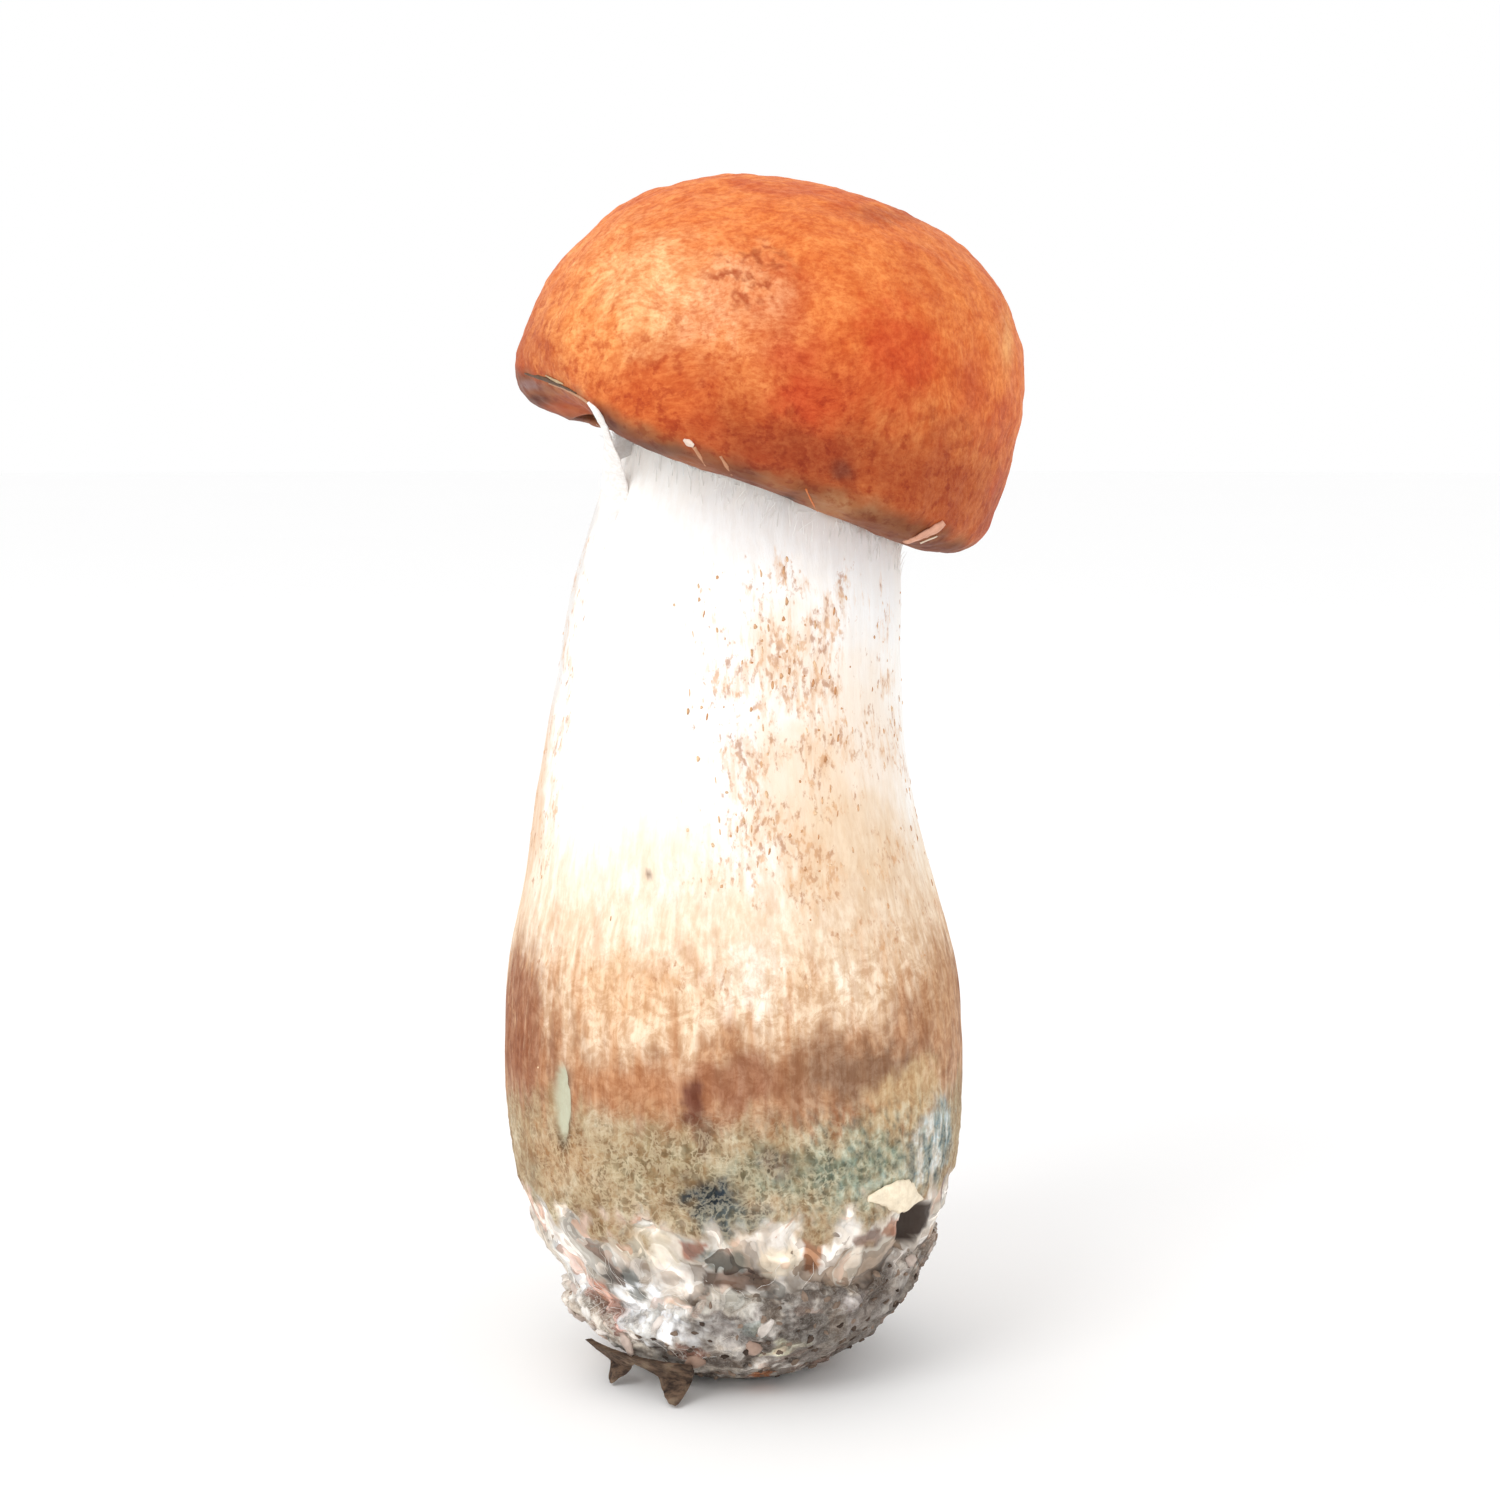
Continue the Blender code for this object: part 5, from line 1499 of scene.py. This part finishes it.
def ribbon(name, stations, shade, ragged, sides=10):
    """A flattened strip through stations of (point, way out, width, thickness), with shut ends."""
    places = range(len(stations))
    along = np.linspace(0, len(stations) - 1, RIBBON_STEPS * (len(stations) - 1) + 1)

    def drawn(values):
        return curve_through(list(zip(places, values)))(along)

    point = np.stack([drawn([station[0][i] for station in stations]) for i in range(3)], axis=-1)
    out = np.stack([drawn([station[1][i] for station in stations]) for i in range(3)], axis=-1)
    width = drawn([station[2] for station in stations])
    thick = np.maximum(drawn([station[3] for station in stations]), 0.05 * MM)
    width = np.maximum(width * (1 + ragged * 2 * rough(point, 0.9 * MM, 3.0, octaves=2)), 0.06 * MM)
    tangent = np.gradient(point, axis=0)
    across = np.cross(tangent, out)
    across /= np.maximum(np.linalg.norm(across, axis=-1, keepdims=True), LEAST_LENGTH)
    up = np.cross(across, tangent)
    up /= np.maximum(np.linalg.norm(up, axis=-1, keepdims=True), LEAST_LENGTH)
    turn = TURN * np.arange(sides) / sides
    wide = across[:, None] * (width[:, None] / 2 * np.cos(turn))[..., None]
    deep = up[:, None] * (thick[:, None] / 2 * np.sin(turn))[..., None]
    grid = point[:, None] + wide + deep
    grid = grid + up[:, None] * (ragged * 0.5 * width[:, None] * rough(grid, 1.1 * MM, 8.0))[..., None]
    strip = skin(name, grid, top=point[0], bottom=point[-1])
    uneven = 1 + 0.12 * rough(grid, 1.4 * MM, 5.0, octaves=2)
    paint(strip, "tone", all_over(grid, shade) * uneven[..., None])
    return outward(strip)


def joined(name, objects, finish):
    """One piece made of several painted shapes."""
    points, faces, tones = [], [], []
    for obj in objects:
        first = len(points)
        points += [tuple(vertex.co) for vertex in obj.data.vertices]
        faces += [[first + i for i in face.vertices] for face in obj.data.polygons]
        tones += [tuple(item.color) for item in obj.data.attributes["tone"].data]
        bpy.data.objects.remove(obj)
    mesh = bpy.data.meshes.new(name)
    mesh.from_pydata(points, [], faces)
    mesh.shade_smooth()
    layer = mesh.attributes.new("tone", "FLOAT_COLOR", "POINT")
    layer.data.foreach_set("color", np.array(tones, np.float32).ravel())
    mesh.materials.append(finish)
    return linked(name, mesh)


def veil_web(degrees):
    """A thin web from the stem's top to the cap's margin, its free edge drawn in."""
    angle = math.radians(degrees)
    by_strap = degrees == STRAP_WEB
    full_drop = STRAP_WEB_DROP if by_strap else SHRED_DROP
    stations = []
    for share in np.linspace(0, 1, 7):
        radius = SHRED_STEM_END[0] + (SHRED_CAP_END[0] - SHRED_STEM_END[0]) * share
        top = SHRED_STEM_END[1] + (SHRED_CAP_END[1] + margin_lift(angle) - SHRED_STEM_END[1]) * share
        drop = full_drop * (1 - share) ** 1.4 + SHRED_TIP
        own = np.array((radius * math.cos(angle), radius * math.sin(angle), top - drop / 2))
        out = np.array((-math.sin(angle), math.cos(angle), 0.0))
        thick = (0.7 - 0.3 * share) * MM
        stations.append((from_cap(own), from_cap(out) - from_cap(out * 0), drop, thick))
    shade = STRAP_WEB_SHADED_COLOUR if by_strap else WEB_COLOUR
    return ribbon(f"web_{degrees}", stations, shade, ragged=0.05, sides=20)


Strip = namedtuple("Strip", "name colour lift marks")

# Strips of tissue on the cap's margin, each with marks of (x, z, width, thickness) in mm
CAP_STRIPS = (
    # Painted shade: a dark strip along the crease of the fold.
    Strip("curl in the fold", (92, 68, 48), 0.02,
          ((-21.6, 108.0, 0.2, 0.1), (-19.6, 107.5, 0.5, 0.25), (-17.6, 106.8, 0.5, 0.25),
           (-15.6, 105.9, 0.2, 0.1))),
    Strip("line in the fold", (186, 140, 108), 0.04,
          ((-18.8, 107.0, 0.2, 0.15), (-16.8, 106.3, 0.25, 0.15), (-15.0, 105.4, 0.35, 0.2),
           (-13.6, 104.4, 0.6, 0.3))),
    # Painted highlight: a pale spot in the fold.
    Strip("pale spot in the fold", (186, 160, 124), 0.12,
          ((-19.0, 107.8, 0.15, 0.1), (-18.0, 107.3, 0.35, 0.2), (-17.0, 106.9, 0.15, 0.1))),
    Strip("drop of veil", (224, 204, 190), 0.02,
          ((-4.7, 101.4, 0.3, 0.2), (-4.2, 101.1, 0.7, 0.4), (-3.7, 100.8, 0.4, 0.2))),
    Strip("first trail", (190, 136, 102), 0.0,
          ((-3.7, 100.7, 0.5, 0.3), (-3.1, 99.7, 0.4, 0.2), (-2.6, 98.8, 0.2, 0.1))),
    Strip("second trail", (190, 136, 102), 0.0,
          ((-1.1, 99.8, 0.3, 0.2), (-0.5, 98.8, 0.4, 0.2), (0.0, 97.9, 0.2, 0.1))),
    Strip("pinkish flap", (216, 160, 134), 0.1,
          ((21.4, 93.0, 0.9, 0.5), (20.6, 92.4, 1.5, 0.6), (19.2, 91.7, 1.3, 0.5), (17.8, 91.0, 1.0, 0.4),
           (16.6, 90.6, 0.5, 0.3))),
    Strip("pale line below it", (232, 214, 192), 0.12,
          ((20.8, 91.6, 0.2, 0.15), (19.2, 90.9, 0.35, 0.2), (17.4, 90.2, 0.3, 0.2))),
    Strip("orange thread", (206, 116, 62), 0.05,
          ((7.3, 96.6, 0.2, 0.15), (8.0, 95.2, 0.2, 0.15), (8.6, 94.2, 0.15, 0.1))),
)

# The torn tongue of flesh over the hollow at the lower right, by (x, z, width, thickness) in mm
TONGUE_STRIPS = (
    Strip("torn tongue", (246, 232, 206), 0.3,
          ((13.9, 23.6, 0.8, 0.3), (15.2, 23.6, 1.9, 0.7), (16.6, 23.4, 3.2, 1.0), (17.8, 22.9, 3.4, 1.0),
           (18.8, 22.3, 1.7, 0.7), (19.8, 21.9, 0.4, 0.2))),
)

# The strap that runs from the left fold down to the stem, as (x, y, z, width, thickness) in mm
STRAP = (
    (-14.3, -20.5, 105.0, 0.3, 0.25),
    (-13.5, -20.9, 104.1, 0.7, 0.35),
    (-12.9, -19.0, 102.8, 1.2, 0.45),
    (-12.6, -15.4, 101.4, 1.5, 0.5),
    (-12.4, -12.0, 99.8, 2.0, 0.6),
    (-12.3, -9.4, 97.4, 2.8, 0.7),
    (-12.3, -8.6, 94.2, 3.0, 0.6),
    (-12.5, -7.6, 90.4, 2.4, 0.3),
    (-12.7, -6.6, 87.0, 1.2, 0.1),
)
STRAP_FACES = np.array((-0.35, -0.93, 0.1))
STRAP_COLOUR = (246, 243, 240)


def laid(tree, strip, ragged=0.15):
    """A strip laid on the surface that the front view sees at its marks, none on the far side."""
    stations = []
    for x, z, width, thick in strip.marks:
        found = seen_at(tree, x, z)
        if found and found[0][1] < 0:
            place, out = found
            stations.append((place + out * strip.lift * MM, out, width * MM, thick * MM))
    return ribbon(strip.name.replace(" ", "_"), stations, strip.colour, ragged)


def make_tissue(cap, stem, finish):
    """The torn veil at the margin, and the torn tongue low on the right."""
    shapes = [veil_web(degrees) for degrees in SHRED_ANGLES]
    strap = [(np.array(mark[:3]) * MM, STRAP_FACES, mark[3] * MM, mark[4] * MM) for mark in STRAP]
    shapes.append(ribbon("strap", strap, STRAP_COLOUR, ragged=0.03, sides=24))
    cap_tree, stem_tree = surface_tree(cap), surface_tree(stem)
    shapes += [laid(cap_tree, strip) for strip in CAP_STRIPS]
    shapes += [laid(stem_tree, strip, ragged=0.1) for strip in TONGUE_STRIPS]
    return joined("veil_tissue", shapes, finish)


def make_veil_fibres(stem, finish):
    """White fibres that the torn veil left standing round the stem's top."""
    draw = random.Random(11)
    tree = surface_tree(stem)
    lines = []
    for _ in range(VEIL_FIBRES):
        angle = draw.uniform(-math.pi, math.pi)
        lip = lip_point(angle)
        start = beside_axis(tree, angle, lip[2] - draw.uniform(-1.0, 1.0) ** 2 * 3.4 * MM)
        if start is None:
            continue
        place, out = start
        rise = draw.uniform(0.8, 2.6) * MM
        at_strap = near_angle(angle, NOTCH_DEGREES, 40)
        reach = draw.uniform(0.1, 0.9) ** 1.5 * (1 - at_strap)
        aside = draw.uniform(-0.25, 0.25)
        over = lip_point(angle + aside * 0.5)
        end = place + np.array((0, 0, rise))
        end = end + (over - end) * np.array((reach, reach, 0)) * 0.9
        end[2] = min(end[2], over[2] + 0.3 * MM)
        middle = place * 0.45 + end * 0.55 - out * 0.1 * MM
        root = place - out * 0.15 * MM - np.array((0, 0, rise * 0.6))
        lines.append([(root, 1.0), (place + out * 0.05 * MM, 0.9), (middle, 0.7), (end, 0.3)])
    return strands("veil_fibres", lines, 0.08 * MM, finish)


def make_threads(crust, stem, finish):
    """Fine white threads of mycelium wandering over the foot."""
    draw = random.Random(23)
    tree = surface_tree(crust, stem)
    lines = []
    for _ in range(MYCELIUM_THREADS):
        angle = math.radians(draw.gauss(-150, 70))
        height = draw.uniform(2.0, 14.0) * MM
        heading = draw.uniform(-math.pi, math.pi)
        line = []
        for _ in range(draw.randint(4, 9)):
            found = beside_axis(tree, angle, height)
            if found:
                place, out = found
                line.append((place + out * 0.03 * MM, draw.uniform(0.6, 1.1)))
            heading += draw.uniform(-0.7, 0.7)
            angle += math.cos(heading) * THREAD_STEP / (20 * MM)
            height = min(max(height + math.sin(heading) * THREAD_STEP, 1.2 * MM), 22.5 * MM)
        bare = earth_share(np.array(angle), np.array(height), np.array(place)) < draw.uniform(0.2, 0.9)
        if len(line) > 3 and bare:
            lines.append([(line[0][0], 0.3), *line[1:-1], (line[-1][0], 0.3)])
    return strands("mycelium_threads", lines, 0.05 * MM, finish)


def make_scatter(name, surface, shapes, share, spacing, sizes, seed, finish, wander=math.pi):
    """Small shapes scattered over a finished skin where a stored share asks for them."""
    smallest, largest = sizes
    return grown(
        name,
        scatter_tree(),
        surface.data,
        shapes=shape_collection(name + "_shapes", shapes),
        share_name=share,
        spacing=spacing * MM,
        density=1.6 / (spacing * MM) ** 2,
        smallest=tuple(size * MM for size in smallest),
        largest=tuple(size * MM for size in largest),
        direction=(0, 0, 1),
        wander=wander,
        seed=seed,
        finish=finish,
    )


def make_stage():
    """A plain pale floor."""
    bpy.ops.mesh.primitive_circle_add(vertices=96, radius=FLOOR_RADIUS, fill_type="NGON")
    floor = bpy.context.object
    floor.name = "floor"
    made, net, shader, place = new_finish("floor_finish", 0.9, specular=0.1)
    shade = net.mix(net.noise(place, 0.4, 2), (0.98, 0.98, 0.98, 1), (0.99, 0.99, 0.99, 1))
    net.fill(shader["Base Color"], shade)
    floor.data.materials.append(made)


def add_softbox(name, place, aim, width, power):
    light = bpy.data.lights.new(name, "AREA")
    light.shape = "DISK"
    light.size = width
    light.energy = power
    lamp = bpy.data.objects.new(name, light)
    lamp.location = place
    lamp.rotation_euler = (Vector(aim) - Vector(place)).to_track_quat("-Z", "Y").to_euler()
    bpy.context.scene.collection.objects.link(lamp)


def make_lights():
    """Soft white light from all round, and a large softbox at the upper left."""
    world = bpy.data.worlds.new("studio")
    world.use_nodes = True
    background = world.node_tree.nodes["Background"]
    background.inputs["Color"].default_value = (1, 1, 1, 1)
    background.inputs["Strength"].default_value = 1.0
    bpy.context.scene.world = world
    add_softbox("key", KEY_PLACE, KEY_AIM, KEY_WIDTH, KEY_POWER)
    bpy.context.scene.view_settings.view_transform = "Standard"


def make_camera():
    """The camera, a little above the cap's margin, looking slightly down."""
    data = bpy.data.cameras.new("camera")
    data.sensor_width = SENSOR_WIDTH
    data.lens = CAMERA_LENS
    data.clip_start = 0.01
    camera = bpy.data.objects.new("camera", data)
    camera.location = CAMERA_PLACE
    camera.rotation_euler = (CAMERA_TARGET - CAMERA_PLACE).to_track_quat("-Z", "Y").to_euler()
    bpy.context.scene.collection.objects.link(camera)
    bpy.context.scene.camera = camera


def keep(piece, slot, *nodes):
    """Hands a finished piece over: what it rides on and the solids it stands for, which it hides; slot is
    not used.
    """
    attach(piece, "root")
    if nodes:
        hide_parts(*nodes)


def main():
    make_camera()
    make_lights()
    make_stage()
    cap = make_cap(cap_skin_finish())
    stem = make_stem(stem_finish())
    crust = make_crust(crust_finish())
    scaber_finish = tinted_finish("scaber_finish", (198, 140, 94), (240, 206, 168), 0.75, 0.4 * MM)
    earth_finish = tinted_finish("crumb_finish", (62, 50, 43), (150, 130, 114), 0.88, 0.4 * MM)
    fibre_finish = tinted_finish("fibre_finish", (246, 245, 243), (255, 254, 252), 0.7, 2.0 * MM)
    white_finish = tinted_finish("mycelium_finish", (226, 216, 202), (254, 253, 250), 0.55, 0.8 * MM)
    lump_finish = tinted_finish("lump_finish", (158, 124, 104), (244, 240, 234), 0.45, 1.2 * MM)
    keep(cap, "cap_skin", "cap")
    keep(stem, "stem_flesh", "stem")
    keep(make_tubes(tubes_finish()), "tubes", "tube_layer")
    keep(crust, "earth", "soil")
    keep(make_bark_scrap(bark_finish()), "bark", "bark_scrap")
    keep(make_tissue(cap, stem, tissue_finish()), "stem_flesh")
    keep(make_veil_fibres(stem, fibre_finish), "stem_flesh")
    keep(make_threads(crust, stem, white_finish), "stem_flesh")
    tufts = lumpy_meshes("tuft", 5, 1, tuft_point)
    tuft_sizes = ((0.12, 0.25, 0.06), (0.42, 1.1, 0.2))
    scabers = make_scatter("scabers", stem, tufts, "scaber_share", 0.95, tuft_sizes, 3,
                           scaber_finish, wander=0.25)
    keep(scabers, "stem_flesh")
    crumbs = lumpy_meshes("crumb", 6, 2, crumb_point, smooth=False)
    crumb_sizes = ((0.3, 0.3, 0.25), (1.1, 1.0, 0.6))
    keep(make_scatter("soil_crumbs", crust, crumbs, "earth_share", 1.6, crumb_sizes, 5, earth_finish),
         "earth")
    lumps = lumpy_meshes("lump", 6, 2, crumb_point)
    lump_sizes = ((1.0, 1.0, 0.3), (3.0, 2.2, 0.9))
    keep(make_scatter("mycelium_lumps", crust, lumps, "mycelium_share", 2.6, lump_sizes, 7, lump_finish),
         "stem_flesh")


main()
